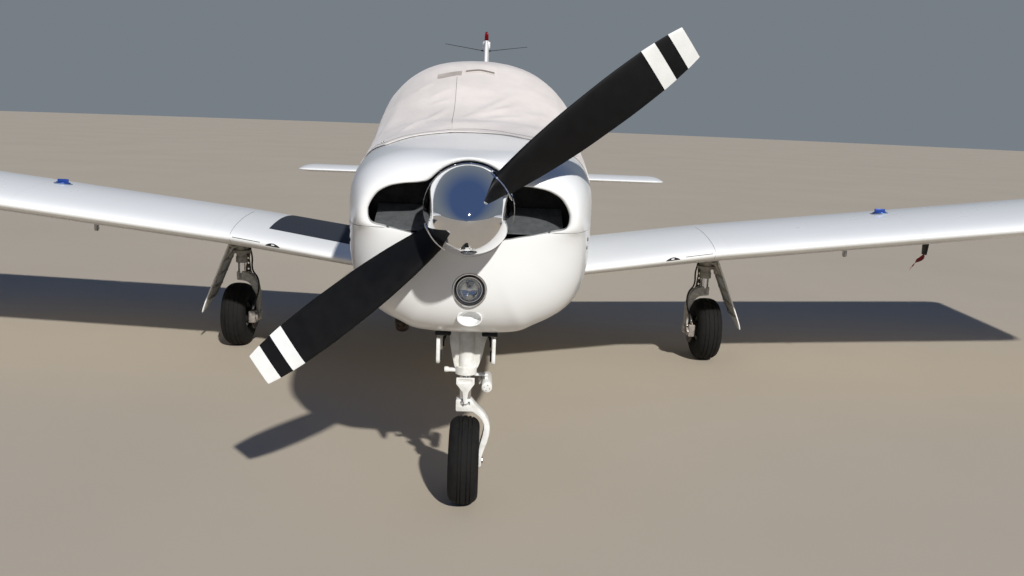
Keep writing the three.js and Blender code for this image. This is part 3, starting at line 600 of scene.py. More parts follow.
def mix_finishes():
    own = colours()
    FINISHES.update(
        enamel=gloss_enamel(),
        riveted=riveted_enamel(),
        chrome=chrome_plate(),
        blade=cast_finish("satin_black_blade_paint", own.blade, 1.5, 0.0, (0.5, 0.64), 60, 0.1, 0.2),
        band=cast_finish("white_blade_band_paint", own.band, 0.92, 0.0, (0.4, 0.5), 60, 0.1),
        # painted shade: the cowl's inner faces are near black to stand in for the dark inside the cowl
        primer=cast_finish("dark_heat_primer", "#191817", "#2a2826", 0.0, (0.7, 0.9), 40, 0.3),
        zinc=cast_finish("grey_green_well_primer", "#8f9584", "#767c6c", 0.0, (0.55, 0.75), 60, 0.2),
        leg=cast_finish("white_leg_enamel", "#efefeb", "#d6d4cc", 0.0, (0.25, 0.42), 45, 0.1),
        grey_paint=cast_finish("weathered_grey_enamel", own.gear, 0.72, 0.1, (0.45, 0.65), 18, 0.25),
        fork=cast_finish("light_grey_fork_enamel", "#c3c1b8", "#a09d93", 0.1, (0.4, 0.6), 22, 0.2),
        link=cast_finish("stained_link_steel", "#8a7c6c", "#5f5245", 0.3, (0.5, 0.7), 12, 0.2),
        caliper=cast_finish("dusty_brake_casting", "#9c948d", "#7a726b", 0.1, (0.5, 0.7), 12, 0.2),
        iron=cast_finish("cast_iron_grey", "#5c5b59", "#403e3b", 0.6, (0.5, 0.7), 8, 0.3),
        # painted shade: near black for the engine and the wing's air inlets, the dark inside them
        sooty=cast_finish("sooty_engine_grey", "#232322", "#151514", 0.2, (0.6, 0.8), 30, 0.4),
        seam=cast_finish("dark_joint_sealant", "#4b4946", "#3a3836", 0.0, (0.7, 0.85), 20, 0.05),
        worn=woven("worn_canvas_patch", "#cfc4b8", "#9c9187", 3.0, 0.5),
        thread=cast_finish("brown_stitching", "#8d8176", "#6f6459", 0.0, (0.8, 0.95), 4, 0.1),
        disc=cast_finish("worn_brake_disc", "#8d8a85", "#6d5a4a", 0.9, (0.3, 0.5), 12, 0.05),
        steel=cast_finish("bright_steel", "#b9b9b7", "#8f8d88", 1.0, (0.2, 0.35), 10, 0.05),
        wheel=cast_finish("painted_wheel_casting", "#b4b2ab", "#8a867c", 0.3, (0.4, 0.6), 16, 0.2),
        dark=cast_finish("black_oxide_steel", "#1a1a1b", "#29292a", 0.4, (0.5, 0.7), 12, 0.2),
        hose=cast_finish("black_rubber_hose", "#161616", "#242322", 0.0, (0.5, 0.7), 8, 0.1),
        sleeve=cast_finish("black_vinyl_sleeve", "#141415", "#222224", 0.0, (0.45, 0.6), 10, 0.3),
        rubber=cast_finish("tyre_rubber", "#101010", "#1c1b19", 0.0, (0.75, 0.92), 25, 0.3, 0.25),
        scorched=cast_finish("scorched_exhaust_steel", "#4a3c33", "#1d1a19", 0.8, (0.5, 0.75), 18, 0.2),
        baffle=cast_finish("aluminium_baffle_sheet", "#8d9092", "#74777a", 0.7, (0.45, 0.6), 35, 0.2),
        reflector=cast_finish("silvered_reflector", "#e8e8e6", "#d6d6d4", 1.0, (0.05, 0.12), 30),
        glass=lens("clear_lamp_glass", "#f4f7f8"),
        red_lens=lens("red_beacon_lens", "#d01410", 0.08),
        walkway=cast_finish("grit_walkway_coating", own.walkway, 0.7, 0.0,
                            (0.85, 0.95), 6, 0.8),
        cap_seat=cast_finish("grey_blue_cap_ring", "#8593a6", "#6f7d90", 0.2, (0.4, 0.55), 30, 0.05),
        cap=cast_finish("blue_anodised_cap", own.cap, 0.8, 0.35, (0.3, 0.45), 30, 0.05),
        canvas=woven("bleached_canvas", own.canvas, 0.86, 3.0, 0.3),
        binding=woven("white_hem_binding", "#f0ece6", "#ded8d0", 2.4, 0.2),
        webbing=woven("brown_strap_webbing", "#4b382a", "#35271d", 2.4, 0.4),
        ribbon=woven("red_ribbon_cloth", own.ribbon, 0.6, 1.6, 0.15),
        floor=cast_finish("matt_studio_floor", own.floor, 0.95, 0.0, (0.85, 0.97), 2500, 0.0, 0.2),
    )


# Fuselage

# metres behind the main axle, half width, heights of bottom, widest place and top, squareness above, below
SECTIONS = (
    (-2.722, 0.388, 0.862, 1.225, 1.402, 3.0, 2.6),
    (-2.700, 0.412, 0.822, 1.222, 1.432, 3.0, 2.6),
    (-2.640, 0.434, 0.788, 1.220, 1.450, 3.0, 2.7),
    (-2.500, 0.458, 0.748, 1.215, 1.464, 3.0, 2.8),
    (-2.300, 0.486, 0.702, 1.212, 1.476, 3.0, 2.9),
    (-2.050, 0.510, 0.655, 1.212, 1.488, 3.0, 3.0),
    (-1.750, 0.530, 0.622, 1.216, 1.500, 3.0, 3.0),
    (-1.500, 0.541, 0.608, 1.228, 1.508, 2.9, 3.0),
    (-1.310, 0.546, 0.602, 1.240, 1.600, 2.8, 3.0),
    (-1.050, 0.550, 0.598, 1.255, 1.742, 2.7, 3.0),
    (-0.790, 0.551, 0.594, 1.262, 1.842, 2.6, 3.0),
    (-0.300, 0.551, 0.590, 1.268, 1.868, 2.6, 3.0),
    (0.300, 0.550, 0.590, 1.268, 1.860, 2.6, 3.0),
    (0.800, 0.535, 0.600, 1.262, 1.800, 2.6, 2.9),
    (1.280, 0.482, 0.620, 1.240, 1.668, 2.5, 2.8),
    (1.650, 0.418, 0.648, 1.190, 1.530, 2.4, 2.7),
    (2.100, 0.338, 0.690, 1.140, 1.400, 2.3, 2.6),
    (2.900, 0.222, 0.764, 1.060, 1.240, 2.2, 2.4),
    (3.600, 0.140, 0.836, 1.000, 1.130, 2.1, 2.3),
    (3.985, 0.092, 0.880, 0.966, 1.072, 2.0, 2.2),
)
section_at = smooth_columns(SECTIONS)
FIREWALL, CABIN_END, TAIL_END = -1.750, 1.280, 3.985
SKIN = 0.003                     # thickness
JOINT = 0.0006                   # between two skins that meet
DOOR = (-0.620, 0.352, 0.935, 1.712)        # front, back, bottom, top
BAGGAGE = (0.850, 1.225, 0.815, 1.222)      # the same
PIVOT_Y, PIVOT_Z = 3.890, 0.935             # torque tube of the tailplane


def hull(angle, y, grow=0.0):
    """Points of the fuselage skin at stations y, angle from the aircraft's left over the top."""
    width, bottom, middle, top, top_power, low_power = section_at(y).T
    c, s = np.cos(angle), np.sin(angle)
    power = np.where(s >= 0, top_power, low_power)
    rise = np.where(s >= 0, top - middle, middle - bottom) + grow
    x = (width + grow) * np.sign(c) * np.abs(c) ** (2 / power)
    z = middle + rise * np.sign(s) * np.abs(s) ** (2 / power)
    return points_at(x, y, z)


def body_skin(name, front, back, rows, closed=False):
    def place(u, v):
        return hull(2 * math.pi * (u - 0.25), front + (back - front) * v)
    return grid_skin(name, 200, rows, place, closed=closed)


def halved(obj, height, keep_above, slope=0.0, start=0.0):
    """Keeps what lies above or below a height at Y = start, which rises forwards by a slope."""
    def work(mesh):
        bpy.ops.mesh.select_all(action="SELECT")
        bpy.ops.mesh.bisect(plane_co=(0, start, height), plane_no=(0, slope, 1), clear_inner=keep_above,
                            clear_outer=not keep_above)
    return edited(obj, work)


def side_block(name, edges, gap):
    """A block through the right side that a door's edges, grown by gap, leave open."""
    front, back, low, high = edges
    return block(name, at(-0.9, front - gap, low - gap), at(-0.25, back + gap, high + gap))


def build_cabin():
    """Lower cabin shell, cabin door and baggage door"""
    whole = body_skin("cabin_skin", FIREWALL + JOINT / 2, CABIN_END - JOINT / 2, 110)
    modify(whole, "SOLIDIFY", thickness=SKIN, offset=-1)
    door = carved(copied(whole, "cabin_door_skin"), side_block("door_cut", DOOR, 0), "INTERSECT")
    hatch = carved(copied(whole, "baggage_skin"), side_block("hatch_cut", BAGGAGE, 0), "INTERSECT")
    carved(whole, side_block("door_gap", DOOR, 0.004))
    carved(whole, side_block("hatch_gap", BAGGAGE, 0.005))
    carved(whole, block("roof_cut", at(-1, -3, SILL_Z), at(1, 3, 3)))
    coated("riveted", whole, door, hatch, angle=30)
    placed(whole, "airframe", "white_paint", "cabin_lower")

    front, back, low, high = DOOR
    grip_y, grip_z = back - 0.10, low + 0.17
    plate = block("door_plate", at(-0.556, grip_y - 0.075, grip_z - 0.022),
                  at(-0.538, grip_y + 0.03, grip_z + 0.022), 0.006)
    lever = block("door_lever", at(-0.566, grip_y - 0.065, grip_z - 0.011),
                  at(-0.552, grip_y + 0.01, grip_z + 0.011), 0.004)
    barrel = drum("door_lock", at(-0.548, grip_y + 0.055, grip_z), at(-0.556, grip_y + 0.055, grip_z),
                  0.012, bevel=0.001)
    coated("chrome", plate, lever, barrel)
    placed(joined("cabin_door_shell", door, plate, lever, barrel), "airframe", "white_paint", "cabin_door")

    front, back, low, high = BAGGAGE
    lock_y = (front + back) / 2
    lock = pin("baggage_lock", (-0.512, -0.528), lock_y, low + 0.05, 0.013, bevel=0.001)
    coated("steel", lock)
    placed(joined("baggage_door_shell", hatch, lock), "baggage_door", "white_paint", "baggage_door")


def build_tail_cone():
    """Tail cone with its tie-down ring"""
    cone = body_skin("tail_cone_shell", CABIN_END + JOINT / 2, TAIL_END, 110, closed=True)
    carved(cone, pin("tube_hole", (-0.4, 0.4), PIVOT_Y, PIVOT_Z, 0.034))
    coated("riveted", cone, angle=30)
    ring = prism("tail_ring", ring_outline(3.5, 0.782, 0.850), "x", -0.008, 0.008, 0.002)
    coated("steel", ring)
    placed(joined("tail_cone_shell", cone, ring), "airframe", "white_paint", "tail_cone")

    painted(frame["nodes"]["cabin_roof"], finish("enamel"))


class AIRCRAFT_OT_fuselage(Operator):
    """Riveted fuselage skins, cabin door and baggage door"""
    bl_idname = "aircraft.fuselage"
    bl_label = "Fuselage"

    def execute(self, context):
        build_cabin()
        build_tail_cone()
        return {"FINISHED"}


def ring_outline(y, low, high):
    """A tie-down lug seen from the side: a flat foot below, straight sides into the skin above."""
    half, corner = 0.018, 0.008
    return [(row_y(y) + a, b) for a, b in (
        (-half, low + corner), (-half + corner, low), (half - corner, low), (half, low + corner),
        (half, high),
        (-half, high))]



# Engine cowl

COWL_BACK = FIREWALL - 0.0003
NOSE_START = -2.500              # where the sides begin to curl in to the face
FACE = -2.730                    # furthest forward point of the lip
# degrees about the propeller's axis from +X, radius: outline of an inlet and of the hole round the spinner
OPENING = ((-90, 0.172), (-75, 0.171), (-60, 0.168), (-53, 0.166), (-42, 0.1684), (-35, 0.186),
           (-28.8, 0.2077), (-19.3, 0.2628), (-15.5, 0.295), (-13.2, 0.3185), (-11.5, 0.342),
           (-9.8, 0.3555), (-6.5, 0.361), (-2.9, 0.360), (1, 0.352), (4.2, 0.342), (7.5, 0.3298),
           (13.4, 0.293), (19.2, 0.2435), (25, 0.200), (31.5, 0.176), (38, 0.169), (50, 0.167), (70, 0.166),
           (90, 0.166))
opening_at = smooth_columns(OPENING)
KEEL_DROP, KEEL_HALF, CHIN_SQUARE, CHIN_RISE = 0.031, 0.235, 0.7, 0.036
# shares of v at which the side, the face and the lip's curl end; the rest goes back inside by LIP_DEPTH
SIDE_END, FACE_END, CURL_END, LIP_SHARE, LIP_DEPTH = 0.40, 0.80, 0.90, 0.10, 0.055


def section_radius(angle, y):
    """Distance from the propeller's axis to the skin, along rays at an angle about it."""
    width, bottom, middle, top, top_power, low_power = section_at(y).T
    c, s = np.cos(angle), np.sin(angle)
    chin = eased(y, -2.62, -2.42) * (1 - eased(y, -2.0, -1.8))
    low_power = low_power + CHIN_SQUARE * chin
    bottom = bottom + CHIN_RISE * chin
    near, far = np.zeros_like(angle), np.full_like(angle, 1.2)
    for _ in range(34):
        r = (near + far) / 2
        x, z = r * c, HUB.z + r * s
        drop = KEEL_DROP * chin / (1 + (np.abs(x) / KEEL_HALF) ** 16)
        low = bottom - drop
        above = z >= middle
        rise = np.where(above, top - middle, middle - low)
        power = np.where(above, top_power, low_power)
        inside = (np.abs(x) / width) ** power + (np.abs(z - middle) / rise) ** power < 1
        near, far = np.where(inside, r, near), np.where(inside, far, r)
    return (near + far) / 2


def cowl_point(u, v):
    """v runs from the firewall forward along the skin, round the lip and back inside."""
    angle = 2 * math.pi * u
    half = np.degrees(np.arcsin(np.clip(np.sin(angle), -1, 1)))
    hole = opening_at(half)[:, 0]
    upper = eased(half, -13.0, -7.0)
    lip = 0.004 + (sizes().lip_radius - 0.004) * upper
    crest = hole + lip
    power = 2.5 + 0.7 * np.clip(-np.sin(angle), 0, 1) - 0.5 * np.clip(np.sin(angle), 0, 1)
    y, r = np.empty_like(u), np.empty_like(u)

    side = v < SIDE_END
    y[side] = COWL_BACK + (NOSE_START - COWL_BACK) * v[side] / SIDE_END
    r[side] = section_radius(angle[side], y[side])

    face = (v >= SIDE_END) & (v < FACE_END)
    t = np.sin((v[face] - SIDE_END) / (FACE_END - SIDE_END) * math.pi / 2)
    start = section_radius(angle[face], np.full(t.shape, NOSE_START))
    behind = section_radius(angle[face], np.full(t.shape, NOSE_START + 0.1))
    taper = start - (behind - start) / 0.1 * t * (NOSE_START - FACE)
    keep = crest[face] + 0.020 * (1 - t)
    outer = np.maximum(taper, keep)
    y[face] = NOSE_START + (FACE - NOSE_START) * t
    r[face] = crest[face] + (outer - crest[face]) * np.clip(1 - t ** power[face], 0,
                                                            1) ** (1 / power[face])

    curl = (v >= FACE_END) & (v < CURL_END)
    turn = (v[curl] - FACE_END) / LIP_SHARE * math.pi / 2
    y[curl] = FACE + lip[curl] * (1 - np.cos(turn))
    r[curl] = crest[curl] - lip[curl] * np.sin(turn)

    inner = v >= CURL_END
    depth = (v[inner] - CURL_END) / LIP_SHARE * LIP_DEPTH
    y[inner] = FACE + lip[inner] + depth
    r[inner] = hole[inner] + 0.10 * depth
    return points_at(r * np.cos(angle), y, HUB.z + r * np.sin(angle))


LIGHT_Z, LIGHT_RADIUS = 0.962, 0.060
WELL_HALF, WELL_FRONT, WELL_BACK = 0.092, -2.560, -1.790      # opening for the nose gear


def build_cowl_halves():
    """Both halves of the cowl, with the openings in the lower one"""
    whole = grid_skin("cowl", 360, 100, cowl_point, closed=False)
    lower = copied(whole, "cowl_lower_shell")
    upper = whole
    upper.name = "cowl_upper_shell"
    for half, gap, above in ((upper, 0.0013, True), (lower, -0.0013, False)):
        halved(half, SPLIT_Z + gap, above, 0.012, MAIN_AXLE.y + FIREWALL)
    for obj in (upper, lower):
        # the inner skin takes the second finish, near black: painted shade for the dark inside of the cowl
        modify(obj, "SOLIDIFY", thickness=0.004, offset=-1, use_rim=True, material_offset=1)
        painted_keep(obj, finish("enamel"), finish("primer"))
    cuts = (
        drum("light_cut", at(0.01, -2.80, LIGHT_Z), at(0.01, -2.60, LIGHT_Z), LIGHT_RADIUS + 0.004,
             sides=64),
        block("well_cut", at(-WELL_HALF, WELL_FRONT, 0.5), at(WELL_HALF, WELL_BACK, 0.80), 0.02, 4),
        block("exhaust_cut", at(-0.360, -2.100, 0.5), at(-0.240, -1.880, 0.80), 0.03, 4),
        oval("dimple_cut", at(0.013, -2.80, 0.852), at(0.013, -2.55, 0.852), 0.043, 0.0275),
    )
    for cutter in cuts:
        carved(lower, cutter)
    for obj, node in ((upper, "cowl_upper"), (lower, "cowl_lower")):
        shaded(obj, 40)
        placed(obj, "airframe", "white_paint", node)


def build_cowl_studs():
    """Turn-lock studs along the joint of the halves"""
    studs = []
    for height, y in ((0.045, -2.14), (0.045, -1.82), (-0.030, -2.55), (-0.062, -2.55)):
        for side in (1, -1):
            studs.append((Vector(at(side * side_reach(y, SPLIT_Z + height), y, SPLIT_Z + height)),
                          Vector((side, 0, 0))))
    stud = drum("stud", (0, 0, -0.003), (0, 0, 0.0012), 0.0085, 0.0075, sides=20)
    painted(stud, finish("dark"))
    placed(scattered("cowl_studs", stud, studs), "airframe", "dark_metal")


def build_landing_light():
    """Sealed lamp behind a chromed bezel, with black rings painted as shade in the gaps round it"""
    centre = Vector(at(0.01, -2.716, LIGHT_Z))
    ahead = (0, -1, 0)
    bezel = turned("lamp_bezel",
                   [(-0.030, 0.0505), (-0.030, LIGHT_RADIUS + 0.0035), (0.006, LIGHT_RADIUS + 0.0035),
                    (0.009, LIGHT_RADIUS + 0.001), (0.009, LIGHT_RADIUS - 0.003),
                    (0.004, LIGHT_RADIUS - 0.005), (-0.004, 0.0505), (-0.030, 0.0505)], centre, ahead,
                   steps=96)
    ring = turned("lamp_ring", [(-0.024, 0.043), (-0.024, 0.0485), (-0.003, 0.0485), (-0.001, 0.047),
                                (-0.001, 0.0445), (-0.004, 0.043), (-0.024, 0.043)], centre, ahead,
                  steps=96)
    bowl = turned("lamp_bowl", [(-0.030, 0.001), (-0.0295, 0.012), (-0.027, 0.022), (-0.022, 0.031),
                                (-0.014, 0.039), (-0.008, 0.0432), (-0.010, 0.0445), (-0.0165, 0.040),
                                (-0.0245, 0.032), (-0.0295, 0.0225), (-0.032, 0.012), (-0.0325, 0.001)],
                  centre, ahead, steps=64)
    filament = drum("lamp_bulb", centre + Vector((0, 0.022, 0)), centre + Vector((0, 0.012, 0)), 0.008,
                    bevel=0.003)
    pane = turned("lamp_glass", [(-0.006, 0.0), (-0.006, 0.0432), (-0.003, 0.0432), (-0.001, 0.030),
                                 (0.0, 0.014), (0.0005, 0.0)], centre, ahead, steps=48)
    backing = drum("lamp_can", centre + Vector((0, 0.030, 0)), centre + Vector((0, 0.044, 0)),
                   LIGHT_RADIUS + 0.003)
    # black rings painted as the shade in the gaps between bezel and ring and between bezel and cowl
    grooves = [hoop("lamp_groove_shade", centre + Vector((0, y, 0)), ahead, radius, thick, 96)
               for y, radius, thick in ((-0.0035, 0.0502, 0.0024),
                                        (-0.0045, LIGHT_RADIUS + 0.0028, 0.0016))]
    for obj, look in ((bezel, "chrome"), (ring, "chrome"), (bowl, "reflector"), (filament, "chrome"),
                      (pane, "glass"), (backing, "dark"), *((groove, "dark") for groove in grooves)):
        coated(look, obj, angle=30)
    placed(joined("landing_lamp", bezel, ring, bowl, filament, pane, backing, *grooves), "airframe",
           "lamp_glass", "landing_light")


def build_dimple():
    """Round-edged hollow below the landing light"""
    tray = oval("dimple_tray", at(0.013, -2.700, 0.852), at(0.013, -2.630, 0.852), 0.046, 0.0305)
    hollow = [[at(0.013 + a * math.cos(t), y, 0.852 + b * math.sin(t))
               for t in np.linspace(0, 2 * math.pi, 48, endpoint=False)]
              for y, a, b in ((-2.720, 0.0430, 0.0275), (-2.690, 0.0425, 0.0270), (-2.672, 0.036, 0.022),
                              (-2.662, 0.024, 0.014))]
    carved(tray, loft("dimple_hollow", hollow))
    coated("enamel", tray, angle=50)
    placed(tray, "airframe", "dark_metal")


class AIRCRAFT_OT_cowl(Operator):
    """Moulded engine cowl in two halves, with its inlets, landing light and gear opening"""
    bl_idname = "aircraft.cowl"
    bl_label = "Engine cowl"

    def execute(self, context):
        build_cowl_halves()
        build_cowl_studs()
        build_landing_light()
        build_dimple()
        return {"FINISHED"}


def painted_keep(obj, *materials):
    """Gives the materials and keeps each face's own number."""
    numbers = [face.material_index for face in obj.data.polygons]
    painted(obj, *materials)
    for face, number in zip(obj.data.polygons, numbers):
        face.material_index = number
    return obj


def side_reach(y, z):
    """Half width of the fuselage section at a height."""
    width, bottom, middle, top, top_power, low_power = section_at(np.array([y]))[0]
    rise, power = (top - middle, top_power) if z >= middle else (middle - bottom, low_power)
    return width * (1 - (abs(z - middle) / rise) ** power) ** (1 / power)


def oval(name, start, end, half_width, half_height):
    """A drum along Y with an elliptical section."""
    rings = [[(start[0] + half_width * math.cos(a), y, start[2] + half_height * math.sin(a))
              for a in np.linspace(0, 2 * math.pi, 48, endpoint=False)] for y in (start[1], end[1])]
    return loft(name, rings)


# Cabin cover

COVER_TIP, COVER_BACK, COVER_HEM = -2.090, 1.400, 1.284     # front and back ends, height of the side hems
# share of the way from the middle to the side hem, metres behind the main axle: the cover's front edge
FRONT_EDGE = ((0.0, -1.715), (0.06, -1.755), (0.17, -1.87), (0.24, -1.92), (0.32, -2.00), (0.40, -2.07),
              (0.46, COVER_TIP), (0.53, -2.04), (0.62, -1.94), (0.80, -1.87), (1.0, -1.85))
front_edge = smooth_columns(FRONT_EDGE)
# x and metres behind the main axle at both ends, height, width: folds that the straps pull into the cloth
FOLDS = (
    (-0.07, -1.46, 0.21, -1.13, 1.0, 0.020),
    (-0.06, -1.45, 0.23, -1.24, 0.9, 0.018),
    (0.02, -1.46, 0.26, -1.36, 0.7, 0.018),
    (-0.36, -1.72, -0.12, -1.29, 1.2, 0.022),
    (-0.25, -1.20, -0.12, -1.11, 0.5, 0.020),
    (-0.24, -1.28, -0.12, -1.22, 0.5, 0.016),
    (-0.33, -1.10, -0.22, -1.02, 0.5, 0.020),
    (0.22, -1.36, 0.37, -1.27, 0.4, 0.020),
    (-0.44, -1.55, -0.40, -0.95, 0.7, 0.030),
    (0.44, -1.60, 0.41, -0.90, 0.7, 0.030),
    (-0.50, -1.30, -0.44, -0.20, 0.6, 0.035),
    (0.50, -1.30, 0.45, -0.20, 0.6, 0.035),
    (0.52, 1.30, 0.36, 0.60, 1.0, 0.030),
    (-0.52, 1.30, -0.36, 0.60, 1.0, 0.030),
    (-0.20, 1.36, 0.05, 0.90, 0.6, 0.028),
)
SEAM_X, SEAM_END = -0.117, -0.98           # the seam down the middle of the windshield, and where it ends


def ridge(x, y, fold):
    """1 along a fold, 0 away from it."""
    x0, y0, x1, y1, height, width = fold
    along = np.array((x1 - x0, y1 - y0))
    share = np.clip(((x - x0) * along[0] + (y - y0) * along[1]) / (along @ along), 0, 1)
    gap = np.hypot(x - x0 - share * along[0], y - y0 - share * along[1]) / width
    taper = eased(share, -0.02, 0.25) * (1 - eased(share, 0.6, 1.02))
    return height * taper * np.exp(-gap ** 2)


def cover_point(u, v, lift=0.0):
    """u from the right hem over the top to the left hem, v from the front edge to the back."""
    share = np.abs(2 * u - 1)
    front = front_edge(share)[:, 0]
    y = front + (COVER_BACK - front) * v
    width, bottom, middle, top, top_power, low_power = section_at(y).T
    hem = np.arcsin(np.clip((COVER_HEM - middle) / (top - middle), 0.0, 1) ** (top_power / 2))
    angle = math.pi - hem - u * (math.pi - 2 * hem)
    flat = hull(angle, y)
    x = flat[:, 0]
    crown = np.sin(angle) ** 1.5
    slack = (0.004 + 0.006 * crown) * (0.25 + 0.75 * eased(v, 0.0, 0.05))
    roof = eased(y, -1.1, -0.7) * (1 - eased(y, 0.9, 1.3))
    slack += 0.013 * (1 - 0.8 * eased(x, 0.05, 0.30)) * crown * roof
    slack += 0.036 * crown * np.exp(-((y + 1.50) / 0.15) ** 2) * eased(v, 0.0, 0.06)
    edge = eased(v, 0.0, 0.035) * (1 - 0.5 * eased(v, 0.97, 1.0))
    wander = np.array([noise.noise(Vector((a * 5, b * 4, c * 5))) + 0.5
                       * noise.noise(Vector((a * 14, b * 10, c * 14))) for a, b, c in flat])
    folds = sum(ridge(x, y, fold) for fold in FOLDS)
    seam = (np.abs(x - SEAM_X) < 0.010) * (y < SEAM_END) * 0.0012
    slack += edge * (0.003 * wander + sizes().fold_depth * folds) + seam + lift
    return hull(angle, y, slack)


def build_canvas():
    """The canvas itself, with the trims that are sewn to it, and dark pieces painted as the shade in a slit
    and in the grommets' holes
    """
    thickness = sizes().cloth_thickness
    cloth = grid_skin("cover_canvas", 220, 260, cover_point, closed=False)
    half = np.linalg.norm(np.diff(cover_point(np.linspace(0, 1, 200), np.full(200, 0.5)), axis=0),
                          axis=1).sum()
    modify(cloth, "SOLIDIFY", thickness=thickness, offset=1)
    coated("canvas", cloth, angle=60)
    placed(cloth, "airframe", "cover_cloth", "cockpit_cover")

    trims = []
    for name, across, down in (
        ("cover_hem_front", (0.0, 1.0), (0.0, 0.0072)),
        ("cover_hem_back", (0.0, 1.0), (0.9905, 1.0)),
        ("cover_hem_right", (0.0, 0.011), (0.0, 1.0)),
        ("cover_hem_left", (0.989, 1.0), (0.0, 1.0)),
    ):
        def place(u, v, across=across, down=down):
            return cover_point(across[0] + (across[1] - across[0]) * u, down[0] + (down[1] - down[0]) * v,
                               thickness + 0.0002)
        wide = across[1] - across[0] > 0.5
        band = grid_skin(name, 220 if wide else 4, 4 if wide else 260, place, closed=False)
        modify(band, "SOLIDIFY", thickness=0.0016, offset=1)
        trims.append(coated("binding", band, angle=60))

    def patch(name, corner, far, look, lift, rows=(16, 12), grow=0.0014, rise=0.0, lean=0.0):
        """A piece sewn to the cover between two corners, given as shares of it."""
        def place(u, v):
            return cover_point(corner[0] + (far[0] - corner[0]) * u + lean * (1 - v),
                               corner[1] + (far[1] - corner[1]) * v + rise * (1 - u), thickness + lift)
        piece = grid_skin(name, *rows, place, closed=False)
        modify(piece, "SOLIDIFY", thickness=grow, offset=1)
        return coated(look, piece, angle=60)

    trims += [
        patch("mended_patch", (0.4775, 0.247), (0.5255, 0.278), "canvas", 0.0012, grow=0.0020),
        # the slit line is a dark strip painted as the shade in a slit in the canvas
        patch("slit_shade_line", (0.4785, 0.2495), (0.5240, 0.2550), "thread", 0.0034, grow=0.0006),
        patch("stained_strip", (0.4050, 0.243), (0.4700, 0.258), "worn", 0.0008, (24, 12), 0.0005,
              rise=0.026),
        patch("hem_stitches", (0.17, 0.0255), (0.83, 0.0268), "thread", 0.0004, (220, 2), 0.0005),
        patch("centre_seam", (0.4597, 0.03), (0.4607, 0.242), "thread", 0.0005, (2, 160), 0.0005,
              lean=0.009),
    ]
    for u in (0.25, 0.75):
        foot, above = (Vector(cover_point(np.array([u]), np.array([0.032]), thickness + lift)[0])
                       for lift in (-0.001, 0.0035))
        eyelet = drum("grommet", foot, above, 0.0065, bevel=0.001, sides=24)
        # the hole is a dark disc painted as the shade inside the grommet
        hole = drum("grommet_hole", foot, above + 0.1 * (above - foot), 0.0035, sides=16)
        trims += [coated("steel", eyelet), coated("dark", hole)]
    hems = placed(joined("cover_hems", *trims), "airframe", "cover_cloth")


def build_straps():
    """Webbing straps under the belly"""
    for name, y in (("cover_strap_front", -1.330), ("cover_strap_rear", 1.340)):
        def place(u, v, y=y):
            width, bottom, middle, top, top_power, low_power = section_at(np.array([y])).T
            hem = np.arcsin(((COVER_HEM - middle) / (top - middle)) ** (top_power / 2))[0] + 0.05
            angle = hem - u * (math.pi + 2 * hem)
            return hull(angle, y + (v - 0.5) * 0.028, 0.0026 + 0.013 * eased(np.abs(u - 0.5), 0.42, 0.5))
        strap = grid_skin(name + "_webbing", 160, 4, place, closed=False)
        modify(strap, "SOLIDIFY", thickness=0.0022, offset=1)
        coated("webbing", strap, angle=60)
        placed(strap, "airframe", "strap_webbing", name)


class AIRCRAFT_OT_cover(Operator):
    """Canvas cover over windshield and cabin, with its hems, patch, grommets and belly straps"""
    bl_idname = "aircraft.cover"
    bl_label = "Cabin cover"

    def execute(self, context):
        build_canvas()
        build_straps()
        return {"FINISHED"}


# Wings

# x, leading edge behind the main axle, chord, thickness over chord
WING_RATIO = 0.135
OUTER_LEAD, OUTER_CHORD, OUTER_TAIL = -0.795, 1.600, 0.805      # outside the root's glove
WING_STATIONS = (
    (0.380, -1.115, 1.920, 0.094),
    (0.560, -1.060, 1.865, 0.0985),
    (1.420, OUTER_LEAD, OUTER_CHORD, WING_RATIO),
    (4.680, OUTER_LEAD, OUTER_CHORD, WING_RATIO),
    (4.760, -0.793, 1.598, 0.132),
    (4.840, -0.773, 1.560, 0.112),
    (4.885, -0.735, 1.500, 0.076),
    (4.905, -0.675, 1.410, 0.032),
)
WING_CAMBER, DIHEDRAL, INCIDENCE, WING_ROOT_Z = 0.01, 0.1157, 0.0593, 0.627
# name, first and last x, hinge over chord
SURFACES = (("flap", 0.660, 2.690, 0.82), ("aileron", 2.730, 4.560, 0.80))
RUN = 0.008                      # between a control surface and its slot
WELL = (0.900, 1.660, 0.250, 0.120)          # first and last x, half length, depth of the wheel well
TIE_DOWN = (2.300, -0.450, 0.800, 0.880)     # x, metres behind the main axle, bottom, top
CAP = (2.565, -0.280)                        # the same two of the fuel cap
SIDES = (("left", 1), ("right", -1))


def foil(u, ratio, camber):
    """A section of unit chord at shares u of the way round: trailing edge, top, nose, bottom."""
    x = (1 + np.cos(2 * math.pi * u)) / 2
    half = ratio * (1.102 * np.sqrt(x) - 0.669 * x + 2.721 * x ** 2 - 7.896 * x ** 3 + 5.994 * x ** 4
                    - 1.246 * x ** 5)
    line = np.where(x < 0.4, camber / 0.16 * (0.8 * x - x * x), camber / 0.36 * (0.2 + 0.8 * x - x * x))
    return x, line + np.where(u < 0.5, half, -half)


def chord_line(x, y):
    return WING_ROOT_Z + DIHEDRAL * x - INCIDENCE * y


def linear_columns(rows):
    table = np.array(rows, float)
    return lambda x: np.stack([np.interp(x, table[:, 0], column) for column in table[:, 1:].T])


wing_at = linear_columns(WING_STATIONS)


def wing_point(u, x):
    lead, chord, ratio = wing_at(x)
    along, up = foil(u, ratio, WING_CAMBER)
    y = lead + along * chord
    return points_at(x, y, chord_line(x, y) + up * chord)


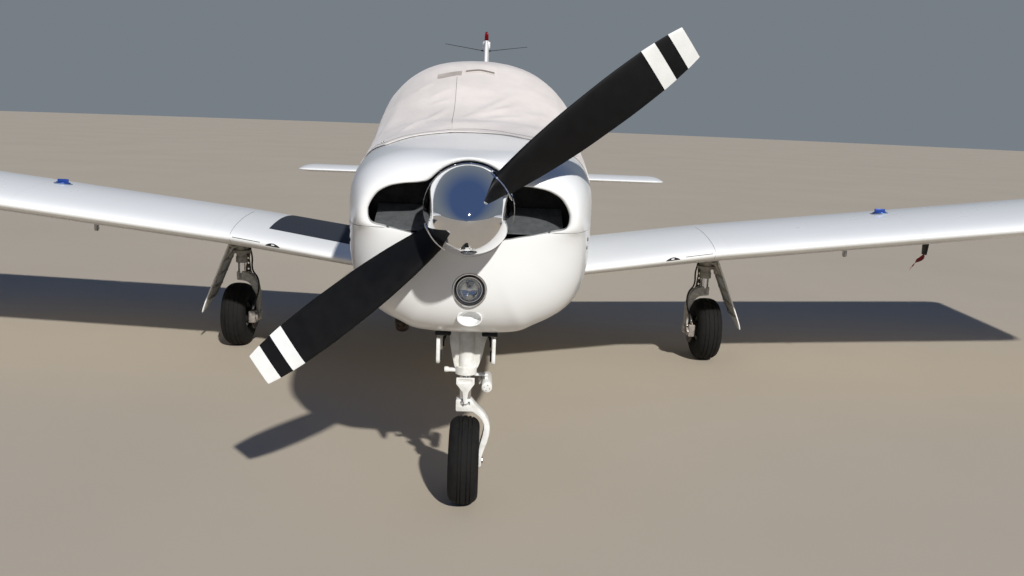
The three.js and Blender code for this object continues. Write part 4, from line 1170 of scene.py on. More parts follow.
def wing_height(x, y, top):
    """Height of the wing's upper or lower skin, as an array."""
    lead, chord, ratio = wing_at(x)
    share = np.clip((y - lead) / chord, 0, 1)
    u = np.arccos(2 * share - 1) / (2 * math.pi)
    return wing_point(u if top else 1 - u, x)[:, 2]


def closed_round(u, count):
    """Shares that leave the trailing edge's own thickness between the last point and the first."""
    share = u * count / (count - 1)
    return np.where(share > 1 + 1e-6, 0, np.minimum(share, 1))


def hinge_centre(hinge):
    """Middle and half thickness of the outer wing at the hinge of a control surface."""
    u = np.arccos(2 * hinge - 1) / (2 * math.pi)
    (_, top), (_, low) = (foil(np.array([k]), WING_RATIO, WING_CAMBER) for k in (u, 1 - u))
    return (top[0] + low[0]) / 2 * OUTER_CHORD, (top[0] - low[0]) / 2 * OUTER_CHORD


def squared(x, centre, y, z):
    """Leans with the wing, square to the hinge line."""
    return at(x - DIHEDRAL * (z - centre), y, z)


def slot_block(name, first, last, hinge):
    middle, half = hinge_centre(hinge)
    y0 = OUTER_LEAD + hinge * OUTER_CHORD
    rings = []
    for x in (first - RUN, last + RUN):
        centre = chord_line(x, y0) + middle
        rings.append([squared(x, centre, y, centre + rise) for y, rise in (
            (y0 - half - RUN, -0.15), (OUTER_TAIL + 0.05, -0.15), (OUTER_TAIL + 0.05, 0.15),
            (y0 - half - RUN, 0.15))])
    return loft(name, rings)


def wedge_skin(name, place_at, count, rows, span):
    """A control surface by place_at(metres of span, on the nose or not, flank -1 or 1, share, angle)."""
    third = count // 3

    def place(u, v):
        k = np.rint(u * count).astype(int) % count
        flank = np.where((k >= third) & (k < 2 * third), -1, 1)
        angle = math.pi / 2 + math.pi * k / third
        share = np.where(flank < 0, (k - third) / (third - 0.5), (count - k) / third)
        return place_at(v * span, k < third, flank, np.clip(share, 0, 1), angle)
    return grid_skin(name, count, rows, place)


def beads(span, share, pitch, depth):
    """Height of the beads pressed into a control surface, which fade out at its hinge and its edge."""
    fade = eased(share, 0.12, 0.25) * (1 - eased(share, 0.85, 0.96))
    return depth * np.clip(np.cos(span / pitch * 2 * math.pi) * 1.6, -1, 1) * fade


def surface_skin(name, first, last, hinge):
    """A flap or aileron: round nose on its hinge, beaded skins, sharp trailing edge."""
    middle, half = hinge_centre(hinge)
    y0, radius = OUTER_LEAD + hinge * OUTER_CHORD, half - 0.001
    edge_half = 0.0022

    def place_at(span, nose, flank, share, angle):
        x = first + span
        centre = chord_line(x, y0) + middle
        end = chord_line(x, OUTER_TAIL) + flank * edge_half
        y = np.where(nose, y0 + radius * np.cos(angle), y0 + (OUTER_TAIL - y0) * share)
        straight = centre + flank * radius + (end - centre - flank * radius) * share
        z = np.where(nose, centre + radius * np.sin(angle),
                     straight + flank * beads(span, share, 0.076, 0.0022))
        return points_at(x - DIHEDRAL * (z - centre), y, z)
    return wedge_skin(name, place_at, 60, int((last - first) / 0.012), last - first)


def skin_line(name, x, u, width, look):
    """A thin strip that lies on the wing along points given by x and the share of the way round."""
    x, u = np.asarray(x, float), np.asarray(u, float)
    points = wing_point(u, x)
    along = np.gradient(points, axis=0)
    normal = wing_point(u + 0.002, x) - wing_point(u - 0.002, x)
    side = wing_point(u, x + 0.002) - wing_point(u, x - 0.002)
    out = np.cross(side, normal)
    out /= np.linalg.norm(out, axis=1, keepdims=True)
    out *= np.sign(out[:, 2:] + 0.6)
    across = np.cross(out, along)
    across *= width / 2 / np.linalg.norm(across, axis=1, keepdims=True)
    rings = [[p + a + 0.0008 * o, p - a + 0.0008 * o, p - a - 0.001 * o, p + a - 0.001 * o]
             for p, a, o in zip(points, across, out)]
    return coated(look, loft(name, rings))


def build_wing_shells():
    """Both wings, with their lines, the painted shade of their air inlets, tie-down lugs, fuel caps and the
    walkway
    """
    first, last, half_length, depth = WELL
    count = 160
    spans = np.concatenate([np.linspace(0.38, 4.68, 86), np.linspace(4.70, 4.905, 22)])

    def place(u, v):
        return wing_point(closed_round(u, count), row_of(spans, v))
    left = grid_skin("wing_left_skin", count, len(spans) - 1, place)
    for name, x0, x1, hinge in SURFACES:
        carved(left, slot_block(name + "_slot", x0, x1, hinge))
    low = [float(wing_height(np.array([x]), np.array([0.0]), False)[0]) for x in (first, last)]
    well = loft("well_block", [[at(x, -half_length, z - 0.06), at(x, half_length, z - 0.06),
                                at(x, half_length, z + depth), at(x, -half_length, z + depth)]
                               for x, z in zip((first, last), low)])
    carved(left, well)

    def in_well(centre, normal):
        x, y = centre.x, centre.y - MAIN_AXLE.y
        inside = first - 0.001 < x < last + 0.001 and abs(y) < half_length + 0.001
        bottom = np.interp(x, (first, last), low)
        return int(inside and bottom + 0.008 < centre.z < bottom + depth + 0.001)
    painted(left, finish("riveted"), finish("zinc"), pick=in_well)
    shaded(left, 30)
    right = mirrored(left, "wing_right_skin")
    x = np.linspace(1.215, 1.385, 12)
    marks = [skin_line("lap_line", x, np.full(12, 0.490), 0.0035, "seam"),
             skin_line("joint_line", np.full(40, 1.400), np.linspace(0.30, 0.545, 40), 0.0017, "seam")]
    # a dark crescent on the leading edge, painted as the shade inside a fresh-air inlet
    x = np.linspace(1.096, 1.180, 15)
    arch = 1 - ((x - 1.138) / 0.042) ** 2
    mouth, forward = 0.5020, np.array((0, -0.0020, 0.0006))
    rings = []
    for place, rise in zip(x, arch):
        low_lip, top_lip = wing_point(np.array([mouth + 0.004, mouth - 0.020 * rise - 0.0006]),
                                      np.full(2, place))
        rings.append([low_lip + forward, top_lip + forward, top_lip - 3 * forward, low_lip - 3 * forward])
    marks.append(coated("sooty", loft("air_inlet_shade", rings), angle=60))
    placed_both(joined("wing_marks_left", *marks), "airframe", "dark_metal")
    for obj, (side, sign) in zip((left, right), SIDES):
        x, y, z0, z1 = TIE_DOWN
        lug = prism("tie_down", ring_outline(y, z0, z1), "x", sign * x - 0.008, sign * x + 0.008, 0.0015)
        coated("steel", lug)
        cx, cy = CAP
        cz = float(wing_height(np.array([cx]), np.array([cy]), True)[0])
        tilt = Vector((-DIHEDRAL * sign, INCIDENCE, 1)).normalized()
        spot = Vector(at(sign * cx, cy, cz))
        seat = drum("cap_seat", spot - 0.004 * tilt, spot + 0.0035 * tilt, 0.054, bevel=0.0015, sides=48)
        cap = drum("cap_top", spot + 0.003 * tilt, spot + 0.010 * tilt, 0.042, bevel=0.003, sides=48)
        grip = block("cap_grip", spot + Vector((-0.034, -0.004, 0.006)),
                     spot + Vector((0.034, 0.004, 0.030)), 0.003)
        painted(seat, finish("cap_seat"))
        painted(cap, finish("cap"))
        painted(grip, finish("cap"))
        parts = [obj, lug] + [shaded(p) for p in (seat, cap, grip)]
        if sign < 0:
            parts.append(walkway())
        placed(joined(f"wing_{side}_shell", *parts), "airframe", "white_paint", f"wing_{side}")


def build_wing_surfaces():
    """Flaps and ailerons"""
    for name, x0, x1, hinge in SURFACES:
        surface = coated("enamel", surface_skin(f"{name}_left_skin", x0, x1, hinge), angle=30)
        placed_both(surface, name + "_{}", "white_paint", name + "_{}")


class AIRCRAFT_OT_wings(Operator):
    """Riveted wings with flaps, ailerons, fuel caps, walkway and wheel wells"""
    bl_idname = "aircraft.wings"
    bl_label = "Wings"

    def execute(self, context):
        build_wing_shells()
        build_wing_surfaces()
        return {"FINISHED"}


def walkway():
    """Grit coating on the right wing's root, with a front edge that runs at a slant."""
    def place(u, v):
        x = 0.565 + 0.640 * u
        front = -0.676 - 0.289 * (1.205 - x)
        y = front + (0.470 - front) * v
        z = wing_height(x, y, True) + 0.0004
        return points_at(-x, y, z)
    sheet = grid_skin("walkway", 30, 70, place, closed=False)
    modify(sheet, "SOLIDIFY", thickness=0.0010, offset=1)
    return coated("walkway", sheet, angle=40)


# Tail

FIN_STATIONS = ((1.010, 2.560, 0.090), (1.200, 3.060, 0.100), (1.330, 3.210, 0.098), (2.250, 3.740, 0.066),
                (2.336, 3.830, 0.040))       # height, leading edge, thickness
RUDDER_Y, RUDDER_LOW, RUDDER_TOP, RUDDER_RADIUS, TAIL_Y = 4.045, 1.128, 2.316, 0.030, 4.400
STABILATOR_ROOT = 0.152                      # x of its inner end
TAB = (0.172, 1.260, 4.280, 0.009)           # first and last x, hinge, radius of its nose
BEACON_Y, BEACON_LOW = 3.962, 2.3363
fin_at = linear_columns(FIN_STATIONS)
# x, leading edge, chord, thickness over chord
stabilator_at = linear_columns((
    (STABILATOR_ROOT, 3.620, 0.780, 0.10), (1.840, 3.620, 0.780, 0.10), (1.890, 3.632, 0.765, 0.085),
    (1.925, 3.655, 0.735, 0.065), (1.950, 3.700, 0.670, 0.03)))


def build_fin_and_rudder():
    """Fin with the beacon's seat, and the beaded rudder"""
    end = RUDDER_Y - RUDDER_RADIUS - RUN
    heights = np.concatenate([np.linspace(1.010, 1.33, 16), np.linspace(1.34, 2.25, 40),
                              np.linspace(2.26, 2.336, 10)])
    count = 100

    def fin_place(u, v):
        z = row_of(heights, v)
        lead, thick = fin_at(z)
        turn = closed_round(u, count)
        share = (1 + np.cos(2 * math.pi * turn)) / 2
        half = thick / 2 * np.minimum(1, 2.2 * np.sqrt(share) - 1.2 * share) * (1 - 0.15 * share)
        return points_at(np.where(turn < 0.5, half, -half), lead + share * (end - lead), z)
    fin = grid_skin("fin_skin", count, len(heights) - 1, fin_place)
    carved(fin, block("fin_cut", at(-0.2, TAIL_END - 0.005, 0.5), at(0.2, 5, RUDDER_LOW - 0.04)))
    coated("riveted", fin, angle=30)
    seat = turned("beacon_seat", [(0, 0.001), (0, 0.034), (0.010, 0.040), (0.022, 0.042), (0.066, 0.042),
                                  (0.072, 0.039), (0.074, 0.034), (0.074, 0.001)], at(0, BEACON_Y, 2.262),
                  (0, 0, 1), steps=48)
    coated("enamel", seat)
    placed(joined("fin_shell", fin, seat), "airframe", "white_paint", "fin")

    def rudder_place(height, nose, flank, share, angle):
        part = height / (RUDDER_TOP - RUDDER_LOW)
        z = RUDDER_LOW + height
        radius = RUDDER_RADIUS * (1 - 0.25 * part)
        tail = TAIL_Y - 0.06 * (1 - part)
        bead = beads(height, share, 0.09, 0.0018)
        x = np.where(nose, radius * np.sin(angle), flank * (radius + (0.0022 - radius) * share + bead))
        y = np.where(nose, RUDDER_Y + radius * np.cos(angle), RUDDER_Y + (tail - RUDDER_Y) * share)
        return points_at(x, y, z)
    rudder = wedge_skin("rudder_skin", rudder_place, 60, 100, RUDDER_TOP - RUDDER_LOW)
    coated("enamel", rudder, angle=30)
    placed(rudder, "rudder", "white_paint", "rudder")


def build_beacon():
    """Beacon: white base, red lens"""
    base = turned("beacon_base", [(0, 0.001), (0, 0.0225), (0.003, 0.023), (0.008, 0.023), (0.010, 0.021),
                                  (0.010, 0.001)], at(0, BEACON_Y, BEACON_LOW), (0, 0, 1))
    dome = turned("beacon_dome", [(0.010, 0.001), (0.010, 0.0215), (0.055, 0.0210), (0.078, 0.0190),
                                  (0.092, 0.0145), (0.100, 0.008), (0.103, 0.001)],
                  at(0, BEACON_Y, BEACON_LOW), (0, 0, 1), steps=48)
    painted(base, finish("enamel"))
    painted(dome, finish("red_lens"))
    placed(joined("beacon_lamp", shaded(base), shaded(dome, 50)), "airframe", "red_lens", "beacon")


def build_aerial():
    """Two whisker aerials near the fin's top"""
    whiskers = []
    for side in (1, -1):
        root, tip = Vector(at(0, 3.985, 2.238)), Vector(at(side * 0.440, 4.075, 2.306))
        along = (tip - root).normalized()
        whiskers.append(drum("rod", root + 0.01 * along, tip - 0.004 * along, 0.0035, 0.0024, sides=16))
        whiskers.append(drum("rod_tip", tip - 0.012 * along, tip, 0.0034, bevel=0.001, sides=16))
        whiskers.append(drum("rod_seat", root + 0.02 * along, root + 0.055 * along, 0.009, 0.006,
                             bevel=0.001, sides=24))
    coated("dark", *whiskers)
    placed(joined("aerial_rods", *whiskers), "airframe", "dark_metal", "nav_antenna")


def build_tailplane():
    """All-moving tailplane on its tube, with a trim tab on each side"""
    count = 100
    root = STABILATOR_ROOT
    spans = np.concatenate([np.linspace(root, 1.84, 48), np.linspace(1.85, 1.95, 16)])

    def half_place(u, v):
        x = row_of(spans, v)
        lead, chord, ratio = stabilator_at(x)
        share, up = foil(closed_round(u, count), ratio, 0)
        return points_at(x, lead + share * chord, PIVOT_Z + up * chord)
    left = grid_skin("stabilator_left", count, len(spans) - 1, half_place)
    x0, x1, hinge, radius = TAB
    carved(left, block("tab_gap", at(x0 - RUN, hinge - radius - 0.006, 0.5), at(x1 + RUN, 5, 1.5)))
    painted(left, finish("riveted"))
    right = mirrored(left, "stabilator_right")
    tube = pin("stabilator_tube", (-root - 0.01, root + 0.01), PIVOT_Y, PIVOT_Z, 0.026)
    painted(tube, finish("steel"))
    placed(joined("stabilator_shell", shaded(left, 30), shaded(right, 30), shaded(tube)),
           "stabilator", "white_paint", "stabilator")

    def tab_place(span, nose, flank, share, angle):
        x = x0 + span
        y = np.where(nose, hinge + radius * np.cos(angle), hinge + (TAIL_Y - hinge) * share)
        z = np.where(nose, radius * np.sin(angle), flank * (radius + (0.002 - radius) * share))
        return points_at(x, y, PIVOT_Z + z)
    tab = wedge_skin("trim_tab_left_skin", tab_place, 36, 40, x1 - x0)
    coated("enamel", tab, angle=30)
    placed_both(tab, "trim_tab", "white_paint", "trim_tab_{}")


class AIRCRAFT_OT_tail(Operator):
    """Fin, rudder, beacon, aerial rods, and the all-moving tailplane with its tabs"""
    bl_idname = "aircraft.tail"
    bl_label = "Tail"

    def execute(self, context):
        build_fin_and_rudder()
        build_beacon()
        build_aerial()
        build_tailplane()
        return {"FINISHED"}


# Propeller

PROP_ANGLE = math.radians(39.2)
PROP_TIP, PROP_Y = 0.940, MAIN_AXLE.y - 2.817
# radius, chord, thickness, pitch in degrees
BLADE = (
    (0.060, 0.090, 0.072, 45), (0.125, 0.104, 0.062, 44), (0.200, 0.130, 0.044, 39),
    (0.320, 0.156, 0.031, 32), (0.470, 0.171, 0.023, 26), (0.620, 0.173, 0.018, 21.5),
    (0.770, 0.164, 0.013, 18), (0.880, 0.143, 0.009, 16), (0.940, 0.122, 0.007, 15),
)
blade_at = smooth_columns(BLADE)
# reach from the back plate as a share of the length, radius as a share of the base's
SPINNER = ((0, 1), (0.06, 0.999), (0.12, 0.995), (0.18, 0.985), (0.25, 0.968), (0.32, 0.944), (0.4, 0.908),
           (0.48, 0.866), (0.55, 0.820), (0.62, 0.766), (0.7, 0.690), (0.76, 0.622), (0.82, 0.540),
           (0.87, 0.458), (0.91, 0.382), (0.945, 0.300), (0.97, 0.222), (0.988, 0.140), (0.997, 0.070),
           (1.0, 0.002))
SPINNER_TIP, SPINNER_BASE, SPINNER_RADIUS = -3.130, -2.745, 0.1600


def turned_by(obj, angle):
    """Turns the mesh about the propeller's axis."""
    spin = Matrix.Translation(HUB) @ Matrix.Rotation(-angle, 4, (0, 1, 0)) @ Matrix.Translation(-HUB)
    obj.data.transform(spin)
    return obj


def blade_skin(name, side):
    bands = [PROP_TIP - k * sizes().tip_band for k in (3, 2, 1)]
    radii = np.concatenate([np.linspace(0.060, bands[0], 70), np.linspace(bands[0], bands[1], 6)[1:],
                            np.linspace(bands[1], bands[2], 6)[1:],
                            np.linspace(bands[2], PROP_TIP - 0.006, 8)[1:], [PROP_TIP - 0.002, PROP_TIP]])
    count = 64

    def place(u, v):
        r = row_of(radii, v)
        chord, thick, pitch = blade_at(r).T
        shrink = np.where(r > PROP_TIP - 0.0005, 0.986, 1)
        angle = 2 * math.pi * u
        share = (1 + np.cos(angle)) / 2                          # 0 at the leading edge
        round_root = eased(r, 0.10, 0.30)
        aero = 2.6 * (0.2969 * np.sqrt(share) - 0.126 * share - 0.3516 * share ** 2 + 0.2843 * share ** 3
                      - 0.1015 * share ** 4) * 1.9
        oval = np.abs(np.sin(angle)) * 0.5
        profile = oval + (np.minimum(aero, 0.5) - oval) * round_root
        along = (0.5 - share) * chord * shrink
        across = np.sign(np.sin(angle)) * profile * thick * shrink
        c, s = np.cos(np.radians(pitch)), np.sin(np.radians(pitch))
        x = side * r
        y = -along * s - across * c
        z = side * (along * c - across * s)
        return np.stack([x + HUB.x, y + PROP_Y, z + HUB.z], axis=1)
    blade = grid_skin(name, count, len(radii) - 1, place)

    def band(centre, normal):
        r = abs(centre.x - HUB.x)
        return int(bands[0] < r < bands[1] or r > bands[2])
    return shaded(painted(blade, finish("blade"), finish("band"), pick=band), 40)


def build_blades():
    """Both blades in their hub"""
    blades = [blade_skin("blade", 1), blade_skin("blade_opposite", -1)]
    hub = drum("hub", at(0, -2.7377, HUB.z), at(0, -2.862, HUB.z), 0.064, bevel=0.008, sides=48)
    clamps = [drum("clamp", (HUB.x + side * 0.05, PROP_Y, HUB.z), (HUB.x + side * 0.118, PROP_Y, HUB.z),
                   0.047, bevel=0.006, sides=48) for side in (1, -1)]
    coated("dark", hub, *clamps)
    prop = joined("propeller_blades", *blades, hub, *clamps)
    placed(turned_by(prop, PROP_ANGLE), "propeller", "blade_black", "propeller")


def build_spinner():
    """Polished spinner with slots for the blades, its plate and screws"""
    length = SPINNER_BASE - SPINNER_TIP
    outer = [(share * length, radius * SPINNER_RADIUS) for share, radius in SPINNER]
    shell = turned("spinner_shell", [(0, 0.002), *outer], at(0, SPINNER_BASE, HUB.z), (0, -1, 0),
                   steps=128)
    inner = turned("spinner_hollow", [(-0.01, 0.002), (-0.01, SPINNER_RADIUS - 0.004)]
                   + [(max(s - 0.004, 0.001), max(r - 0.003, 0.001)) for s, r in outer[1:-1]],
                   at(0, SPINNER_BASE, HUB.z), (0, -1, 0), steps=96)
    carved(shell, inner)
    for side in (1, -1):
        x = sorted((side * 0.08, side * 0.25))
        slot = block("blade_slot", (x[0], row_y(SPINNER_BASE - 0.118), HUB.z - 0.058),
                     (x[1], row_y(SPINNER_BASE + 0.02), HUB.z + 0.058), 0.022, 4)
        carved(shell, slot)
    painted(shell, finish("chrome"))
    shaded(shell, 30)
    beads = []
    for side in (1, -1):
        path = [(0.004, -0.058), (0.060, -0.058), (0.100, -0.057), (0.116, -0.042), (0.118, -0.020),
                (0.118, 0.0), (0.118, 0.020), (0.116, 0.042), (0.100, 0.057), (0.060, 0.058),
                (0.004, 0.058)]
        points = []
        for reach, z in path:
            radius = float(np.interp(reach, *zip(*outer))) + 0.0005
            points.append((HUB.x + side * math.sqrt(radius ** 2 - z ** 2), row_y(SPINNER_BASE - reach),
                           HUB.z + z))
        beads.append(coated("chrome", hose("slot_bead", points, 0.0028), angle=60))
    plate = turned("spinner_plate",
                   [(-0.004, 0.072), (-0.004, SPINNER_RADIUS + 0.001), (-0.003, SPINNER_RADIUS + 0.002),
                    (0.009, SPINNER_RADIUS + 0.002), (0.010, SPINNER_RADIUS + 0.001),
                    (0.010, SPINNER_RADIUS - 0.006), (0.004, SPINNER_RADIUS - 0.006), (0.004, 0.072),
                    (-0.004, 0.072)], at(0, SPINNER_BASE, HUB.z), (0, -1, 0), steps=96)
    coated("chrome", plate, angle=30)
    screw = drum("spinner_screw", (0, 0, -0.002), (0, 0, 0.0016), 0.0042, 0.003, sides=12)
    painted(screw, finish("steel"))
    spots = []
    for k in range(18):
        angle = math.radians(20 * k + 10)
        if abs(math.sin(angle)) > 0.40:
            direction = (math.cos(angle), 0, math.sin(angle))
            spots.append((Vector((HUB.x, MAIN_AXLE.y + SPINNER_BASE - 0.006, HUB.z))
                          + (SPINNER_RADIUS + 0.0015) * Vector(direction), direction))
    screws = scattered("spinner_screws", screw, spots)
    spinner = joined("spinner_dome", shell, plate, screws, *beads)
    placed(turned_by(spinner, PROP_ANGLE), "propeller", "spinner_chrome", "spinner")


class AIRCRAFT_OT_propeller(Operator):
    """Two-bladed propeller with banded tips and a chromed spinner"""
    bl_idname = "aircraft.propeller"
    bl_label = "Propeller"

    def execute(self, context):
        build_blades()
        build_spinner()
        return {"FINISHED"}


# Landing gear

NOSE_Y = -2.400                              # metres behind the main axle
NOSE_TYRE = (0.1815, 0.124, 0.066)           # radius, width, rim radius
MAIN_TYRE = (0.2075, 0.160, 0.078)
LEG_X, TRACK = 1.552, MAIN_AXLE.x            # x of the oleo and of the tyre's middle
BRAKE_X = TRACK - 0.106


def tyre_profile(radius, width, rim, grooves):
    """Section as (across, radius) rows: bulging sidewalls, and a tread with sharp grooves round it."""
    half = width / 2
    side = [(-0.62 * half, rim), (-0.80 * half, rim * 1.12), (-0.93 * half, 0.62 * radius),
            (-0.985 * half, 0.69 * radius)]
    tread = [(-1.0, 0.76), (-0.975, 0.83), (-0.90, 0.885), (-0.80, 0.925), (-0.66, 0.958), (-0.50, 0.980),
             (-0.35, 0.991), (-0.18, 0.998), (0.0, 1.0)]
    across, height = zip(*(tread + [(-a, r) for a, r in tread[-2::-1]]))
    reach = sizes().tread_groove / width
    places = list(across)
    for g in grooves:
        places += [g - reach - 0.006, g - reach + 0.006, g + reach - 0.006, g + reach + 0.006]
    rows = []
    for p in sorted(set(places)):
        deep = any(abs(p - g) < reach for g in grooves)
        rows.append((p * half, float(np.interp(p, across, height)) * radius - (0.004 if deep else 0)))
    return side + rows + [(-a, r) for a, r in side[::-1]]


def tyre(name, size, centre, grooves):
    radius, width, rim = size
    profile = tyre_profile(radius, width, rim, grooves)
    profile = profile + [(profile[-1][0] - 0.012, rim - 0.002), (profile[0][0] + 0.012, rim - 0.002),
                         profile[0]]
    obj = turned(name, profile, centre, (1, 0, 0), steps=96)
    return coated("rubber", obj, angle=32)


def bolts(name, centre, axis, ring, count, radius, height, look="steel", start=0.0):
    """Hexagon bolt heads in a ring about an axis."""
    axis = Vector(axis).normalized()
    side = axis.orthogonal().normalized()
    head = drum("head", (0, 0, 0), (0, 0, height), radius, bevel=radius * 0.15, sides=6)
    painted(head, finish(look))
    places = [(Vector(centre) + ring * (Matrix.Rotation(start + 2 * math.pi * k / count, 3, axis) @ side),
               axis) for k in range(count)]
    return scattered(name, head, places)


def wheel(name, size, centre, look):
    """Both halves of a wheel with a dished web, their bolts and hub caps, as a list."""
    radius, width, rim = size
    half = width * 0.31
    profile = [(-half, 0.030), (-half + 0.002, 0.034), (-half + 0.016, 0.036), (-half + 0.022, rim - 0.022),
               (-half + 0.006, rim - 0.012), (-half, rim - 0.010), (-half - 0.003, rim + 0.002),
               (-half - 0.001, rim + 0.005), (-half + 0.006, rim - 0.0015)]
    profile = profile + [(-a, r) for a, r in profile[::-1]] + [profile[0]]
    body = turned(name + "_web", profile, centre, (1, 0, 0), steps=64)
    parts = [coated(look, body, angle=30)]
    for side in (1, -1):
        axis = (side, 0, 0)
        face = Vector(centre) + Vector((side * (half - 0.018), 0, 0))
        parts.append(bolts(name + "_bolts", face, axis, (rim - 0.022 + 0.036) / 2 + 0.004, 6, 0.0065,
                           0.012))
        cap = drum(name + "_cap", Vector(centre) + Vector((side * (half - 0.004), 0, 0)), Vector(centre)
                   + Vector((side * (half + 0.008), 0, 0)), 0.030, 0.026, bevel=0.002, sides=40)
        parts.append(coated("steel", cap))
    return parts


def build_nose_leg():
    """Leg casting with its braces, tow lug and shimmy damper"""
    leg = [
        drum("nose_barrel", at(0.002, NOSE_Y - 0.004, 0.585), at(0.002, NOSE_Y - 0.004, 0.86), 0.034,
             sides=64),
        turned("nose_collar", [(0, 0.025), (0, 0.0425), (0.0015, 0.044), (0.0325, 0.044), (0.034, 0.0425),
                               (0.034, 0.025)], at(0, NOSE_Y, 0.554), (0, 0, 1)),
        pin("nose_trunnion", (-0.15, 0.15), NOSE_Y + 0.010, 0.80, 0.020, bevel=0.002),
        block("damper_arm", at(0.032, NOSE_Y - 0.008, 0.545), at(0.092, NOSE_Y + 0.022, 0.554), 0.003),
        block("damper_ear", at(0.077, NOSE_Y - 0.004, 0.512), at(0.091, NOSE_Y + 0.018, 0.548), 0.003),
    ]
    # the flanks of the casting: a wide web on the damper's side, a narrower one on the other
    for outline in (
        [(0.020, 0.576), (0.045, 0.576), (0.053, 0.594), (0.064, 0.630), (0.075, 0.681), (0.086, 0.725),
         (0.086, 0.86), (0.020, 0.86)],
        [(-0.020, 0.86), (-0.070, 0.86), (-0.070, 0.725), (-0.067, 0.681), (-0.058, 0.630), (-0.050, 0.594),
         (-0.045, 0.576), (-0.020, 0.576)],
    ):
        leg.append(prism("leg_web", outline, "y", row_y(NOSE_Y - 0.016), row_y(NOSE_Y + 0.030), 0.006))
    for side in (1, -1):
        leg.append(drum("drag_brace", at(side * 0.042, NOSE_Y + 0.020, 0.79),
                        at(side * 0.062, FIREWALL - 0.002, 0.705), 0.014))
        leg.append(block("brace_lug", at(side * 0.042 - 0.012, NOSE_Y + 0.01, 0.768),
                         at(side * 0.042 + 0.012, NOSE_Y + 0.075, 0.812), 0.005))
    lug = pin("tow_lug", (-0.088, -0.070), NOSE_Y, 0.568, 0.0115, bevel=0.003)
    stem = block("tow_stem", at(-0.074, NOSE_Y - 0.010, 0.561), at(-0.040, NOSE_Y + 0.010, 0.575), 0.003)
    leg += [lug, stem]
    coated("leg", *leg, angle=40)
    x, z = 0.087, 0.512
    body = drum("damper_body", at(x, NOSE_Y - 0.056, z), at(x, NOSE_Y + 0.110, z), 0.0215, bevel=0.004)
    cap = drum("damper_cap", at(x, NOSE_Y - 0.0598, z), at(x, NOSE_Y - 0.055, z), 0.017, bevel=0.0025)
    screws = bolts("damper_screws", at(x, NOSE_Y - 0.0585, z), (0, -1, 0), 0.0115, 4, 0.0022, 0.0020,
                   "iron", 0.5)
    rod_end = drum("damper_rod", at(0.058, NOSE_Y + 0.020, 0.522), at(0.058, NOSE_Y + 0.042, 0.522), 0.007,
                   bevel=0.001)
    link = block("damper_link", at(0.053, NOSE_Y + 0.024, 0.500), at(0.063, NOSE_Y + 0.038, 0.551), 0.003)
    coated("leg", body, cap)
    coated("fork", rod_end, link)
    ring = turned("wiper_ring", [(0, 0.0242), (0, 0.038), (0.0035, 0.038), (0.0035, 0.0242), (0, 0.0242)],
                  at(0, NOSE_Y, 0.5507), (0, 0, 1))
    coated("dark", ring)
    placed(joined("nose_leg_assembly", *leg, body, cap, screws, rod_end, link, ring), "airframe",
           "gear_paint", "nose_leg")


def build_nose_fork():
    """One-armed fork with piston, axle and nuts"""
    z_axle = NOSE_AXLE.z
    wheel_x = NOSE_AXLE.x
    arm = prism("fork_arm", [
        (-0.037, 0.402), (-0.033, 0.398), (0.033, 0.398), (0.057, 0.380), (0.0725, 0.362), (0.080, 0.344),
        (0.0805, 0.325), (0.0755, 0.295), (0.066, 0.258), (0.0595, 0.205), (0.0595, 0.166), (0.063, 0.160),
        (0.070, 0.160), (0.074, 0.166), (0.0755, 0.207), (0.086, 0.240), (0.0965, 0.271), (0.104, 0.307),
        (0.1045, 0.323), (0.1045, 0.338), (0.097, 0.363), (0.082, 0.388), (0.068, 0.402), (0.056, 0.413),
        (0.040, 0.430), (0.028, 0.445), (0.022, 0.449), (-0.033, 0.449),
        (-0.037, 0.445)],
        "y", row_y(NOSE_Y - 0.027), row_y(NOSE_Y + 0.027), 0.004)
    for x_cut in (-0.013, 0.015):
        carved(arm, block("fork_pocket", at(x_cut - 0.007, NOSE_Y - 0.03, 0.425),
                          at(x_cut + 0.007, NOSE_Y - 0.012, 0.442), 0.004))
    piston = drum("nose_piston", at(0, NOSE_Y, 0.42), at(0, NOSE_Y, 0.5485), 0.0235, sides=48)
    axle = pin("nose_axle", (wheel_x - 0.058, 0.080), NOSE_Y, z_axle, 0.012, bevel=0.002)
    nut = pin("nose_nut", (0.073, 0.081), NOSE_Y, z_axle, 0.014, bevel=0.002, sides=6)
    cap = pin("nose_nut_left", (wheel_x - 0.066, wheel_x - 0.054), NOSE_Y, z_axle, 0.019,
               bevel=0.002, sides=6)
    coated("leg", arm, angle=40)
    coated("chrome", piston)
    coated("steel", axle)
    coated("steel", nut, cap, angle=25)
    placed(joined("nose_fork_assembly", arm, piston, axle, nut, cap), "nose_fork", "gear_paint",
           "nose_fork")


